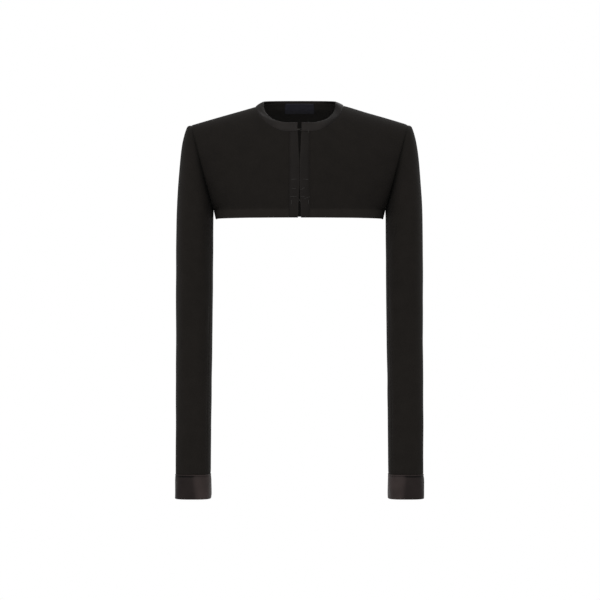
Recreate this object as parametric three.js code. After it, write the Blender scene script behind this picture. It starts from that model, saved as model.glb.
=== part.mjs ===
// Cropped bolero jacket, filled out as on a wearer, in millimetres.
// +Z is up, the front faces -Y, +X is the wearer's left. The origin lies between the shoulder seams,
// at the height of their middle.
import * as THREE from "three";

// Cloth walls
const CLOTH = 1.8;
const SLEEVE_CLOTH = 1.6;
const SATIN_RISE = 0.5;
const BINDING_CROWN = 0.5;
const FACING_CLOTH = 1.0;
const LABEL_CLOTH = 0.8;
const SEAM_GAP = 0.3;
const HEM_RISE = 0.35;

// Body
const HEM_HALF_WIDTH = 138.6;
const HEM_FRONT_DEPTH = 118;
const HEM_BACK_DEPTH = 97;
const HEM_HEIGHT = -173.5;
const HEM_SQUARENESS = 2.3;
const SHOULDER_POINT = { x: 179.5, y: 0, z: -18.6 };
const SIDE_SEAM_SHARE = 0.1;
const BAND_WIDTH = 16.6;

// Neck binding, from the centre front round to the centre back. open is the edge of the neck opening, seam
// is where the edge sewn to the panels lies on them: by its height in front and by its depth behind.
const NECK_FRONT = [
  { openX: 0, openY: -62, openZ: -16.8, seamX: 0, seamZ: -32.3 },
  { openX: 22.3, openY: -59.5, openZ: -16.7, seamX: 26.7, seamZ: -30.8 },
  { openX: 34.3, openY: -53.5, openZ: -14.3, seamX: 40.2, seamZ: -25.9 },
  { openX: 44.8, openY: -44, openZ: -9.9, seamX: 52.2, seamZ: -18.1 },
  { openX: 54, openY: -30, openZ: -0.9, seamX: 61.5, seamZ: -9 },
  { openX: 57.9, openY: -19, openZ: 6.6, seamX: 67.8, seamZ: -1.7 },
  { openX: 59.6, openY: -6, openZ: 17.2, seamX: 72.3, seamZ: 8.8 },
  { openX: 59.8, openY: 4, openZ: 21.2, seamX: 73.6, seamZ: 12.3 },
];
const NECK_BACK = [
  { openX: 59.8, openY: 4, openZ: 21.2, seamX: 73.6, seamY: 4 },
  { openX: 57.5, openY: 18, openZ: 22.7, seamX: 70.5, seamY: 18 },
  { openX: 48, openY: 33, openZ: 23.6, seamX: 58, seamY: 33.5 },
  { openX: 27, openY: 46.4, openZ: 24.4, seamX: 28.5, seamY: 50.2 },
  { openX: 0, openY: 50, openZ: 24.7, seamX: 0, seamY: 54 },
];
const SIDE_NECK_DEPTH = 4;

// Columns of a panel run up from the hem as curves towards the line of the shoulders. Each row gives the way
// a column leaves the hem and the way it comes down from that line: across is 0 at the centre, 1 at the side.
const FRONT_COLUMNS = [
  { across: 0, hemX: 0, hemY: 6, hemZ: 62, topX: 0, topY: -76, topZ: -8 },
  { across: 0.2, hemX: 0, hemY: 5, hemZ: 58, topX: 0, topY: -74, topZ: -8 },
  { across: 0.41, hemX: -2, hemY: 3, hemZ: 52, topX: 4, topY: -68, topZ: -6 },
  { across: 0.7, hemX: 0, hemY: -22, hemZ: 46, topX: 4, topY: -66, topZ: -8 },
  { across: 1, hemX: 4, hemY: -58, hemZ: 22, topX: 0, topY: -60, topZ: -18 },
];
const BACK_COLUMNS = [
  { across: 0, hemX: 0, hemY: 6, hemZ: 72, topX: 0, topY: 94, topZ: 12 },
  { across: 0.2, hemX: 0, hemY: 7, hemZ: 68, topX: 0, topY: 88, topZ: 6 },
  { across: 0.41, hemX: -2, hemY: 12, hemZ: 58, topX: 4, topY: 72, topZ: -4 },
  { across: 0.7, hemX: 0, hemY: 32, hemZ: 48, topX: 4, topY: 64, topZ: -8 },
  { across: 1, hemX: 4, hemY: 58, hemZ: 24, topX: 0, topY: 58, topZ: -18 },
];
const EDGE_BLEND_START = 0.4;

// Half the space between the two fronts, by height.
const FRONT_OPENING = [
  { height: -173.5, half: 2.4 },
  { height: -152, half: 1.7 },
  { height: -142, half: 1.1 },
  { height: -129, half: 0.6 },
  { height: -120, half: 0.15 },
  { height: -86, half: 0.15 },
  { height: -79, half: 0.45 },
  { height: -60, half: 1.6 },
  { height: -42, half: 2.4 },
  { height: -28, half: 3.4 },
  { height: -16, half: 3.4 },
];

// Sleeve sections from the armhole to the wrist. inner and outer are the two ends of a section in the
// front view, depth is half its size from front to back, middle is where that depth is centred.
const SLEEVE = [
  { innerX: 142.2, innerZ: -160.3, outerX: 179.5, outerZ: -18.6, middle: 0, depth: 50, squareness: 2.15 },
  { innerX: 142.4, innerZ: -161.8, outerX: 185.3, outerZ: -20.4, middle: 0, depth: 53.2, squareness: 2.2 },
  { innerX: 142.5, innerZ: -163, outerX: 188.2, outerZ: -26, middle: 0, depth: 55.6, squareness: 2.2 },
  { innerX: 142.6, innerZ: -164.3, outerX: 191.4, outerZ: -36.2, middle: 0, depth: 57.8, squareness: 2.25 },
  { innerX: 142.7, innerZ: -166, outerX: 194.6, outerZ: -51, middle: 0, depth: 59.6, squareness: 2.3 },
  { innerX: 142.8, innerZ: -168.5, outerX: 197.9, outerZ: -76, middle: 0.5, depth: 61.2, squareness: 2.35 },
  { innerX: 142.9, innerZ: -172.5, outerX: 200.9, outerZ: -112, middle: 1, depth: 62.2, squareness: 2.4 },
  { innerX: 143, innerZ: -179, outerX: 203, outerZ: -150, middle: 2, depth: 62.5, squareness: 2.45 },
  { innerX: 143.2, innerZ: -196, outerX: 203.9, outerZ: -190, middle: 3, depth: 62, squareness: 2.5 },
  { innerX: 143.5, innerZ: -240, outerX: 204.3, outerZ: -240, middle: 5, depth: 60.5, squareness: 2.55 },
  { innerX: 144.1, innerZ: -300, outerX: 204.8, outerZ: -300, middle: 6.5, depth: 58, squareness: 2.6 },
  { innerX: 144.8, innerZ: -360, outerX: 205.1, outerZ: -360, middle: 5.5, depth: 55.5, squareness: 2.6 },
  { innerX: 145.3, innerZ: -420, outerX: 205.1, outerZ: -420, middle: 0, depth: 52, squareness: 2.65 },
  { innerX: 145.8, innerZ: -480, outerX: 204.9, outerZ: -480, middle: -9, depth: 47.5, squareness: 2.75 },
  { innerX: 146.3, innerZ: -540, outerX: 204.7, outerZ: -540, middle: -19, depth: 43.6, squareness: 2.9 },
  { innerX: 146.6, innerZ: -594.8, outerX: 204.3, outerZ: -594.8, middle: -27, depth: 41.3, squareness: 3.1 },
];
const CUFF_BOTTOM = -635;
const CUFF_FORWARD = -5;
const CUFF_SPREAD = 0.4;

// The two lengthwise sleeve seams, as turns round the section: 0 is outside, 90 the back, 180 inside,
// 270 the front.
const SLEEVE_SEAMS = [
  { along: 0, front: 202.5, back: 112.5 },
  { along: 0.5, front: 210, back: 134 },
  { along: 0.75, front: 220, back: 138 },
  { along: 1, front: 225, back: 135 },
];

// Facing and label inside the back neck. Both end a row short of the neck opening.
const FACING_PANEL_ROWS = 4;
const LABEL_HALF_WIDTH = 25.5;
const LABEL_COLUMNS = 2;
const LABEL_PANEL_SHARE = 0.7;

// Hooks and eyes, by their height on the centre front. Wire runs from one foot to the middle of its bend,
// and back along the mirror image. across is to the wearer's left, depth is into the jacket.
const FASTENER_HEIGHTS = [-27.5, -112, -146];
const WIRE_RADIUS = 0.4;
const WIRE_SIDES = 6;
const WIRE_STEPS = 22;
const HOOK_WIRE = [
  { across: -8.4, depth: 0, up: 2.6 },
  { across: -6.8, depth: 0, up: 2.2 },
  { across: -5, depth: 0, up: 1 },
  { across: 0.6, depth: 0, up: 0.8 },
  { across: 2.2, depth: 0.35, up: 0.8 },
  { across: 2.9, depth: 1.4, up: 0.8 },
  { across: 2.2, depth: 2.45, up: 0.8 },
  { across: 0.4, depth: 2.8, up: 0.8 },
  { across: -0.6, depth: 2.8, up: 0 },
];
const EYE_WIRE = [
  { across: 9.4, depth: 0, up: 3.2 },
  { across: 7.6, depth: 0, up: 3.2 },
  { across: 5.4, depth: 0.6, up: 2.6 },
  { across: 3.2, depth: 1.3, up: 2.1 },
  { across: 1.5, depth: 1.4, up: 1.2 },
  { across: 1.2, depth: 1.4, up: 0 },
];

// Grid steps. Pieces that meet at a seam share its steps: a panel has ARMHOLE_ROWS along its half of the
// armhole, and a ring of sleeve pieces has twice as many columns.
const BAND_COLUMNS = 3;
const NECK_COLUMNS = 8;
const SHOULDER_COLUMNS = 9;
const SIDE_SEAM_ROWS = 2;
const ARMHOLE_ROWS = 16;
const SLEEVE_ROWS = 22;
const UPPER_SLEEVE_COLUMNS = 24;
const UNDER_SLEEVE_COLUMNS = 8;
const CUFF_COLUMNS = 32;
const CUFF_ROWS = 3;
const BINDING_ROWS = 4;

const CREPE = { color: 0x20201c, roughness: 0.92, metalness: 0 };
const SATIN = { color: 0x2e2b29, roughness: 0.5, metalness: 0 };
const LINING = { color: 0x131210, roughness: 0.85, metalness: 0 };
const LABEL_COLOUR = { color: 0x16161a, roughness: 0.6, metalness: 0 };
const WIRE_FINISH = { color: 0x6a6864, roughness: 0.35, metalness: 0.9 };

const DEGREE = Math.PI / 180;

function mix(from, to, share) {
  return from + (to - from) * share;
}

function clamp(value, low, high) {
  return Math.min(high, Math.max(low, value));
}

function smooth(share) {
  const held = clamp(share, 0, 1);
  return held * held * (3 - 2 * held);
}

// A smooth value between the rows of a table, read at a place in its key column.
function readTable(table, key, column, place) {
  const ascending = table[0][key] < table[table.length - 1][key];
  const rows = ascending ? table : [...table].reverse();
  const at = clamp(place, rows[0][key], rows[rows.length - 1][key]);
  let below = 0;
  while (below < rows.length - 2 && rows[below + 1][key] < at) below += 1;
  const slope = (index) => {
    const before = rows[Math.max(index - 1, 0)];
    const after = rows[Math.min(index + 1, rows.length - 1)];
    return (after[column] - before[column]) / (after[key] - before[key]);
  };
  const start = rows[below];
  const end = rows[below + 1];
  const span = end[key] - start[key];
  const share = (at - start[key]) / span;
  const square = share * share;
  const cube = square * share;
  return (
    (2 * cube - 3 * square + 1) * start[column] +
    (cube - 2 * square + share) * span * slope(below) +
    (3 * square - 2 * cube) * end[column] +
    (cube - square) * span * slope(below + 1)
  );
}

// Signed power of a cosine or sine, which squares an ellipse up.
function squared(value, squareness) {
  return Math.sign(value) * Math.abs(value) ** (2 / squareness);
}

// Adds to each row the length so far along a line through two or three of its columns.
function withLength(table, columns) {
  let length = 0;
  return table.map((row, index) => {
    if (index > 0) length += Math.hypot(...columns.map((name) => row[name] - table[index - 1][name]));
    return { ...row, length };
  });
}

const SHOULDER_TIP = new THREE.Vector3(SHOULDER_POINT.x, SHOULDER_POINT.y, SHOULDER_POINT.z);
const SIDE_NECK_ROW = NECK_FRONT[NECK_FRONT.length - 1];
const SIDE_NECK = new THREE.Vector3(SIDE_NECK_ROW.seamX, SIDE_NECK_DEPTH, SIDE_NECK_ROW.seamZ);
const NECK_SHARE = SIDE_NECK.x / SHOULDER_TIP.x;

// The hem is a squared ellipse. Its columns lie straight below the shoulders near the centre and closer
// together at the side.
function hemPoint(across, depth) {
  const ratio = SHOULDER_TIP.x / HEM_HALF_WIDTH;
  const share = ratio * across - (ratio - 1) * across ** (ratio / (ratio - 1));
  const fullness = (1 - share ** HEM_SQUARENESS) ** (1 / HEM_SQUARENESS);
  return new THREE.Vector3(HEM_HALF_WIDTH * share, depth * fullness, HEM_HEIGHT);
}

const SLEEVE_LENGTHS = withLength(SLEEVE, ["outerX", "outerZ"]);
const SLEEVE_LENGTH = SLEEVE_LENGTHS[SLEEVE.length - 1].length;

// The outer face of the sleeve. The armhole seam is its first section, at along 0.
function sleevePoint(along, turnDegrees) {
  const at = (column) => readTable(SLEEVE_LENGTHS, "length", column, along * SLEEVE_LENGTH);
  const turn = turnDegrees * DEGREE;
  const outward = squared(Math.cos(turn), at("squareness"));
  const backward = squared(Math.sin(turn), at("squareness"));
  return new THREE.Vector3(
    mix(at("innerX"), at("outerX"), (outward + 1) / 2),
    at("middle") + at("depth") * backward,
    mix(at("innerZ"), at("outerZ"), (outward + 1) / 2),
  );
}

// The free outer edge of a panel: the short side seam, then half of the armhole.
function panelEdge(rise, side) {
  if (rise < SIDE_SEAM_SHARE) {
    const hem = hemPoint(1, 0);
    return hem.lerp(sleevePoint(0, 180), rise / SIDE_SEAM_SHARE);
  }
  const share = (rise - SIDE_SEAM_SHARE) / (1 - SIDE_SEAM_SHARE);
  return sleevePoint(0, 180 - side * 180 * share);
}

// The line of the shoulders: the shoulder seam, carried on in a low arch over the neck.
function shoulderLine(across) {
  const seam = SHOULDER_TIP.clone().sub(SIDE_NECK);
  const share = (across - NECK_SHARE) / (1 - NECK_SHARE);
  const point = SIDE_NECK.clone().addScaledVector(seam, share);
  if (across < NECK_SHARE) {
    const slope = seam.z / seam.x;
    point.z = SIDE_NECK.z + (slope * (point.x ** 2 - SIDE_NECK.x ** 2)) / (2 * SIDE_NECK.x);
    point.y = SIDE_NECK.y;
  }
  return point;
}

// A column's curve from the hem to the line of the shoulders, for a front (side -1) or a back (side 1).
function columnCurve(across, side) {
  const table = side < 0 ? FRONT_COLUMNS : BACK_COLUMNS;
  const at = (column) => readTable(table, "across", column, across);
  const hem = hemPoint(across, side < 0 ? -HEM_FRONT_DEPTH : HEM_BACK_DEPTH);
  const top = shoulderLine(across);
  const leave = hem.clone().add(new THREE.Vector3(at("hemX"), at("hemY"), at("hemZ")));
  const arrive = top.clone().add(new THREE.Vector3(at("topX"), at("topY"), at("topZ")));
  return new THREE.CubicBezierCurve3(hem, leave, arrive, top);
}

// Where a column's curve comes to a height in front, or its upper part to a depth behind.
function reachOf(curve, side, value) {
  let low = side < 0 ? 0 : 0.3;
  let high = 1;
  for (let step = 0; step < 30; step += 1) {
    const middle = (low + high) / 2;
    const point = curve.getPoint(middle);
    const before = side < 0 ? point.z < value : point.y > value;
    if (before) low = middle;
    else high = middle;
  }
  return high;
}

// The column of a panel that passes through a point of the neck seam, and how far up it that point lies.
function seamPlace(row, side) {
  const value = side < 0 ? row.seamZ : row.seamY;
  let across = row.seamX / SHOULDER_TIP.x;
  let reach = 1;
  for (let step = 0; step < 6; step += 1) {
    const curve = columnCurve(across, side);
    reach = reachOf(curve, side, value);
    across += (row.seamX - curve.getPoint(reach).x) / SHOULDER_TIP.x;
  }
  return { across, reach };
}

// A table of the neck for one side of the shoulder seam, with the seam's places and its length so far from
// the centre.
function neckTable(rows, side) {
  const placed = rows.map((row) => {
    const { across, reach } = row === rows[side < 0 ? rows.length - 1 : 0] ? SIDE_NECK_PLACE : seamPlace(row, side);
    const seam = columnCurve(across, side).getPoint(reach);
    return { ...row, across, reach, pointX: seam.x, pointY: seam.y, pointZ: seam.z };
  });
  const fromCentre = side < 0 ? placed : placed.reverse();
  return withLength(fromCentre, ["pointX", "pointY", "pointZ"]);
}

const SIDE_NECK_PLACE = { across: NECK_SHARE, reach: 1 };
const NECK_TABLES = { [-1]: neckTable(NECK_FRONT, -1), 1: neckTable(NECK_BACK, 1) };

// A column of a panel. Under the neck it stops at the binding's seam, under the shoulder it runs on to the
// shoulder seam.
function neckColumn(length, side) {
  const at = (name) => readTable(NECK_TABLES[side], "length", name, length);
  const across = at("across");
  return { across, side, length, curve: columnCurve(across, side), reach: at("reach") };
}

function shoulderColumn(across, side) {
  return { across, side, curve: columnCurve(across, side), reach: 1 };
}

const EDGE_CURVES = { [-1]: columnCurve(1, -1), 1: columnCurve(1, 1) };

// The outer face of a panel on the wearer's left. Towards the side it is drawn to its side seam and armhole.
function panelPoint(column, rise) {
  const place = rise * column.reach;
  const point = column.curve.getPoint(place);
  const miss = panelEdge(place, column.side).sub(EDGE_CURVES[column.side].getPoint(place));
  return point.addScaledVector(miss, smooth((column.across - EDGE_BLEND_START) / (1 - EDGE_BLEND_START)));
}

// The outer face of the neck binding, beside a column of a panel, at a rise from the seam to the opening.
function neckPoint(column, rise) {
  const at = (name) => readTable(NECK_TABLES[column.side], "length", name, column.length);
  const open = new THREE.Vector3(at("openX"), at("openY"), at("openZ"));
  const point = panelPoint(column, 1).lerp(open, rise);
  const outward = new THREE.Vector3(point.x, point.y, 0).normalize();
  return point.addScaledVector(outward, Math.sin(Math.PI * rise) * BINDING_CROWN);
}

// Outward direction of the armhole seam, in the plane of the armhole.
function armholeNormal(turnDegrees) {
  const step = 1;
  const along = sleevePoint(0, turnDegrees + step).sub(sleevePoint(0, turnDegrees - step));
  const plane = sleevePoint(0, 0).sub(sleevePoint(0, 180)).cross(new THREE.Vector3(0, 1, 0));
  return along.cross(plane).normalize();
}

// Evenly spread values from one end to the other, both included.
function spread(from, to, steps) {
  return Array.from({ length: steps + 1 }, (_, step) => mix(from, to, step / steps));
}

function joined(...lists) {
  return lists.flatMap((list, index) => (index === 0 ? list : list.slice(1)));
}

function makeGrid(columns, rows, pointAt) {
  return rows.map((row) => columns.map((column) => pointAt(column, row)));
}

// Columns from the centre of a front or back to the wearer's left side.
const BAND_LENGTH = readTable(NECK_TABLES[-1], "pointX", "length", BAND_WIDTH);
const sideNeckLength = (side) => NECK_TABLES[side][NECK_TABLES[side].length - 1].length;
const shoulderColumns = (side) =>
  spread(NECK_SHARE, 1, SHOULDER_COLUMNS).map((across) => shoulderColumn(across, side));
const neckColumns = (from, to, steps, side) => spread(from, to, steps).map((length) => neckColumn(length, side));
const BAND_COLUMN_LIST = neckColumns(0, BAND_LENGTH, BAND_COLUMNS, -1);
const FRONT_NECK_LIST = neckColumns(BAND_LENGTH, sideNeckLength(-1), NECK_COLUMNS, -1);
const BACK_NECK_LIST = joined(
  neckColumns(0, LABEL_HALF_WIDTH, LABEL_COLUMNS, 1),
  neckColumns(LABEL_HALF_WIDTH, sideNeckLength(1), NECK_COLUMNS - LABEL_COLUMNS, 1),
);
const FRONT_COLUMN_LIST = [...FRONT_NECK_LIST.slice(0, -1), ...shoulderColumns(-1)];
const BACK_COLUMN_LIST = [...BACK_NECK_LIST.slice(0, -1), ...shoulderColumns(1)];
const PANEL_RISES = joined(
  spread(0, SIDE_SEAM_SHARE, SIDE_SEAM_ROWS),
  spread(SIDE_SEAM_SHARE, 1, ARMHOLE_ROWS),
);

// Columns run anticlockwise seen from above and rows run up, so column x row points out.
function gridNormals(points, wrapped) {
  const last = points[0].length - 1;
  return points.map((line, row) =>
    line.map((point, column) => {
      const left = wrapped && column === 0 ? line[last - 1] : line[Math.max(column - 1, 0)];
      const right = wrapped && column === last ? line[1] : line[Math.min(column + 1, last)];
      const lower = points[Math.max(row - 1, 0)][column];
      const upper = points[Math.min(row + 1, points.length - 1)][column];
      const across = right.clone().sub(left);
      return across.cross(upper.clone().sub(lower)).normalize();
    }),
  );
}

// Moves each free edge of a grid in by half a seam gap, square to the seam and along the cloth.
function insetEdges(grid, wrapped) {
  const half = SEAM_GAP / 2;
  const { points, normals } = grid;
  const lastRow = points.length - 1;
  const lastColumn = points[0].length - 1;
  const along = (row, column, rowStep, columnStep) => {
    const held = (value, last) => clamp(value, 0, last);
    const after = points[held(row + rowStep, lastRow)][held(column + columnStep, lastColumn)];
    const before = points[held(row - rowStep, lastRow)][held(column - columnStep, lastColumn)];
    return after.clone().sub(before).normalize();
  };
  const moved = points.map((line) => line.map((point) => point.clone()));
  for (let column = 0; column <= lastColumn; column += 1) {
    const up = (row) => normals[row][column].clone().cross(along(row, column, 0, 1)).normalize();
    moved[0][column].addScaledVector(up(0), half);
    moved[lastRow][column].addScaledVector(up(lastRow), -half);
  }
  for (let row = 0; row <= lastRow && !wrapped; row += 1) {
    const across = (column) => along(row, column, 1, 0).cross(normals[row][column]).normalize();
    moved[row][0].addScaledVector(across(0), half);
    moved[row][lastColumn].addScaledVector(across(lastColumn), -half);
  }
  return { points: moved, normals };
}

// A closed wall: its outer face is the grid moved out by riseAt(row), its inner face lies inside the grid.
function wallGeometry(grid, thickness, riseAt, wrapped) {
  const rows = grid.points.length;
  const columns = grid.points[0].length - (wrapped ? 1 : 0);
  const positions = [];
  const pushFace = (moveAt) => {
    for (let row = 0; row < rows; row += 1) {
      for (let column = 0; column < columns; column += 1) {
        const spot = grid.points[row][column].clone();
        spot.addScaledVector(grid.normals[row][column], moveAt(row));
        positions.push(spot.x, spot.y, spot.z);
      }
    }
  };
  pushFace(riseAt);
  pushFace(() => -thickness);
  const inner = rows * columns;
  const index = [];
  const quad = (a, b, c, d) => index.push(a, b, c, a, c, d);
  const at = (row, column) => row * columns + (column % columns);
  const spans = wrapped ? columns : columns - 1;
  for (let row = 0; row < rows - 1; row += 1) {
    for (let column = 0; column < spans; column += 1) {
      const [a, b] = [at(row, column), at(row, column + 1)];
      const [c, d] = [at(row + 1, column + 1), at(row + 1, column)];
      quad(a, b, c, d);
      quad(a + inner, d + inner, c + inner, b + inner);
    }
  }
  for (let column = 0; column < spans; column += 1) {
    const low = [at(0, column), at(0, column + 1)];
    const high = [at(rows - 1, column), at(rows - 1, column + 1)];
    quad(low[1], low[0], low[0] + inner, low[1] + inner);
    quad(high[0], high[1], high[1] + inner, high[0] + inner);
  }
  for (let row = 0; row < rows - 1 && !wrapped; row += 1) {
    const start = [at(row, 0), at(row + 1, 0)];
    const end = [at(row, columns - 1), at(row + 1, columns - 1)];
    quad(start[0], start[1], start[1] + inner, start[0] + inner);
    quad(end[1], end[0], end[0] + inner, end[1] + inner);
  }
  const geometry = new THREE.BufferGeometry();
  geometry.setAttribute("position", new THREE.Float32BufferAttribute(positions, 3));
  geometry.setIndex(index);
  geometry.computeVertexNormals();
  return geometry;
}

// The same piece on the wearer's other side.
function mirrored(geometry) {
  const other = geometry.clone().scale(-1, 1, 1);
  const index = other.getIndex();
  for (let face = 0; face < index.count; face += 3) {
    const second = index.getX(face + 1);
    index.setX(face + 1, index.getX(face + 2));
    index.setX(face + 2, second);
  }
  return other;
}

const jacket = new THREE.Group();

function addPiece(name, geometry, finish) {
  const mesh = new THREE.Mesh(geometry, new THREE.MeshStandardMaterial(finish));
  mesh.name = name;
  jacket.add(mesh);
}

// The wearer's left piece, and its mirror image on the right.
function addPair(name, geometry, finish) {
  addPiece(name + "_left", geometry, finish);
  addPiece(name + "_right", mirrored(geometry), finish);
}

// Normals shared by the two pieces of a seam, so that their edges stay parallel.
function shareColumnNormals(grid, column, rows, normalAt) {
  rows.forEach((place, row) => {
    grid.normals[row][column] = normalAt(place);
  });
}

// Average of the binding's and the panel's directions along the neck seam.
function neckSeamNormal(column) {
  const step = 0.5;
  const { length, side } = column;
  const before = panelPoint(neckColumn(length - step, side), 1);
  const along = panelPoint(neckColumn(length + step, side), 1).sub(before).multiplyScalar(-side);
  const band = along.clone().cross(neckPoint(column, 0.5).sub(neckPoint(column, 0))).normalize();
  const panel = along.cross(column.curve.getTangent(column.reach)).normalize();
  return band.add(panel).normalize();
}

const SHOULDER_NORMAL = new THREE.Vector3(0, -1, 0).cross(SHOULDER_TIP.clone().sub(SIDE_NECK)).normalize();

function panelTopNormal(column) {
  return column.across < NECK_SHARE ? neckSeamNormal(column) : SHOULDER_NORMAL.clone();
}

function panelEdgeNormal(rise, side) {
  if (rise < SIDE_SEAM_SHARE) return new THREE.Vector3(1, 0, 0);
  const share = (rise - SIDE_SEAM_SHARE) / (1 - SIDE_SEAM_SHARE);
  return armholeNormal(180 - side * 180 * share);
}

// The turned-up hem makes the cloth stand a little proud along the lower edge.
function hemRise(row) {
  return row < SIDE_SEAM_ROWS ? HEM_RISE : 0;
}

function makeFronts() {
  const columns = FRONT_COLUMN_LIST;
  const points = makeGrid(columns, PANEL_RISES, panelPoint);
  const grid = { points, normals: gridNormals(points, false) };
  shareColumnNormals(grid, columns.length - 1, PANEL_RISES, (rise) => panelEdgeNormal(rise, -1));
  grid.normals[PANEL_RISES.length - 1] = columns.map(panelTopNormal);
  addPair("front", wallGeometry(insetEdges(grid, false), CLOTH, hemRise, false), CREPE);
}

function otherSide(vector) {
  return new THREE.Vector3(-vector.x, vector.y, vector.z);
}

// A row from the wearer's left to the centre, carried on to the right.
function bothSides(line) {
  return [...line, ...line.slice(0, -1).reverse().map(otherSide)];
}

function makeBack() {
  const columns = [...BACK_COLUMN_LIST].reverse();
  const points = makeGrid(columns, PANEL_RISES, panelPoint).map(bothSides);
  const grid = { points, normals: gridNormals(points, false) };
  const edge = (rise) => panelEdgeNormal(rise, 1);
  shareColumnNormals(grid, 0, PANEL_RISES, edge);
  shareColumnNormals(grid, points[0].length - 1, PANEL_RISES, (rise) => otherSide(edge(rise)));
  grid.normals[PANEL_RISES.length - 1] = bothSides(columns.map(panelTopNormal));
  addPiece("back", wallGeometry(insetEdges(grid, false), CLOTH, hemRise, false), CREPE);
  return grid;
}

// The edge of the front opening at a height, and the places from it to a seam.
function fromOpening(point, seamX, share) {
  const edge = readTable(FRONT_OPENING, "height", "half", point.z);
  point.x = mix(edge, seamX, share);
  return point;
}

// A front band lies between the opening and the front panel, and ends at the neck binding.
function makeFrontBands() {
  const columns = BAND_COLUMN_LIST;
  const seam = columns[BAND_COLUMNS];
  const points = makeGrid(columns, PANEL_RISES, (column, rise) => {
    const share = column.length / BAND_LENGTH;
    return fromOpening(panelPoint(column, rise), panelPoint(seam, rise).x, share);
  });
  const grid = { points, normals: gridNormals(points, false) };
  grid.normals[PANEL_RISES.length - 1] = columns.map(panelTopNormal);
  addPair("front_band", wallGeometry(insetEdges(grid, false), CLOTH, () => SATIN_RISE, false), SATIN);
}

// The binding runs from one side of the front opening round the back of the neck to the other.
function makeNeckBinding() {
  const columns = joined(BAND_COLUMN_LIST, FRONT_NECK_LIST, [...BACK_NECK_LIST].reverse());
  const points = makeGrid(columns, spread(0, 1, BINDING_ROWS), (column, rise) => {
    const point = neckPoint(column, rise);
    if (column.side > 0 || column.length >= BAND_LENGTH) return point;
    return fromOpening(point, neckPoint(FRONT_NECK_LIST[0], rise).x, column.length / BAND_LENGTH);
  }).map(bothSides);
  const grid = { points, normals: gridNormals(points, false) };
  grid.normals[0] = bothSides(columns.map(panelTopNormal));
  addPiece("neck_binding", wallGeometry(insetEdges(grid, false), CLOTH, () => SATIN_RISE, false), SATIN);
  return grid;
}

// Rings stand closer together in the sleeve head.
function ringAlong(share) {
  const headShare = 0.42;
  const headLength = 0.26;
  if (share < headShare) return headLength * (share / headShare) ** 1.5;
  return mix(headLength, 1, (share - headShare) / (1 - headShare));
}

function sleeveNormal(along, turn) {
  if (along <= 0) return armholeNormal(turn);
  const step = 0.004;
  const turnStep = 2;
  const round = sleevePoint(along, turn + turnStep).sub(sleevePoint(along, turn - turnStep));
  const up = sleevePoint(Math.max(along - step, 0), turn).sub(sleevePoint(Math.min(along + step, 1), turn));
  return round.cross(up).normalize();
}

// Two lengths of cloth make a sleeve: the upper one from the front seam over the outside to the back
// seam, and the narrow under one on the inside.
function makeSleeves() {
  const alongs = spread(1, 0, SLEEVE_ROWS).map(ringAlong);
  const seamTurn = (along, seam) => readTable(SLEEVE_SEAMS, "along", seam, along);
  const pieces = [
    { name: "upper_sleeve", columns: UPPER_SLEEVE_COLUMNS, from: "front", to: "back", start: -360 },
    { name: "under_sleeve", columns: UNDER_SLEEVE_COLUMNS, from: "back", to: "front", start: 0 },
  ];
  for (const piece of pieces) {
    const shares = spread(0, 1, piece.columns);
    const turnAt = (share, along) =>
      mix(seamTurn(along, piece.from) + piece.start, seamTurn(along, piece.to), share);
    const points = makeGrid(shares, alongs, (share, along) => sleevePoint(along, turnAt(share, along)));
    const grid = { points, normals: gridNormals(points, false) };
    shareColumnNormals(grid, 0, alongs, (along) => sleeveNormal(along, turnAt(0, along)));
    shareColumnNormals(grid, piece.columns, alongs, (along) => sleeveNormal(along, turnAt(1, along)));
    grid.normals[SLEEVE_ROWS] = shares.map((share) => armholeNormal(turnAt(share, 0)));
    addPair(piece.name, wallGeometry(insetEdges(grid, false), SLEEVE_CLOTH, () => 0, false), CREPE);
  }
}

function makeCuffs() {
  const top = SLEEVE[SLEEVE.length - 1];
  const middleX = (top.innerX + top.outerX) / 2;
  const turns = spread(0, 360, CUFF_COLUMNS);
  const points = makeGrid(turns, spread(1, 0, CUFF_ROWS), (turn, drop) => {
    const point = sleevePoint(1, turn);
    const widening = 1 + (CUFF_SPREAD * drop) / (middleX - top.innerX);
    point.x = middleX + (point.x - middleX) * widening;
    point.y += CUFF_FORWARD * drop;
    point.z = mix(top.outerZ, CUFF_BOTTOM, drop);
    return point;
  });
  const grid = { points, normals: gridNormals(points, true) };
  addPair("cuff", wallGeometry(insetEdges(grid, true), SLEEVE_CLOTH, () => SATIN_RISE, true), SATIN);
}

// A part of a grid, by its first and last row and the columns left out at each end.
function partOf(grid, firstRow, lastRow, margin) {
  const cut = (lines) => lines.slice(firstRow, lastRow + 1).map((line) => line.slice(margin, line.length - margin));
  return { points: cut(grid.points), normals: cut(grid.normals) };
}

function stacked(lower, upper) {
  return {
    points: [...lower.points, ...upper.points.slice(1)],
    normals: [...lower.normals, ...upper.normals.slice(1)],
  };
}

// The lowest row of a grid, moved towards the row above it.
function shortened(grid, share) {
  const raised = (lines) => [lines[0].map((item, column) => item.clone().lerp(lines[1][column], share)), ...lines.slice(1)];
  return { points: raised(grid.points), normals: raised(grid.normals) };
}

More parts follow.
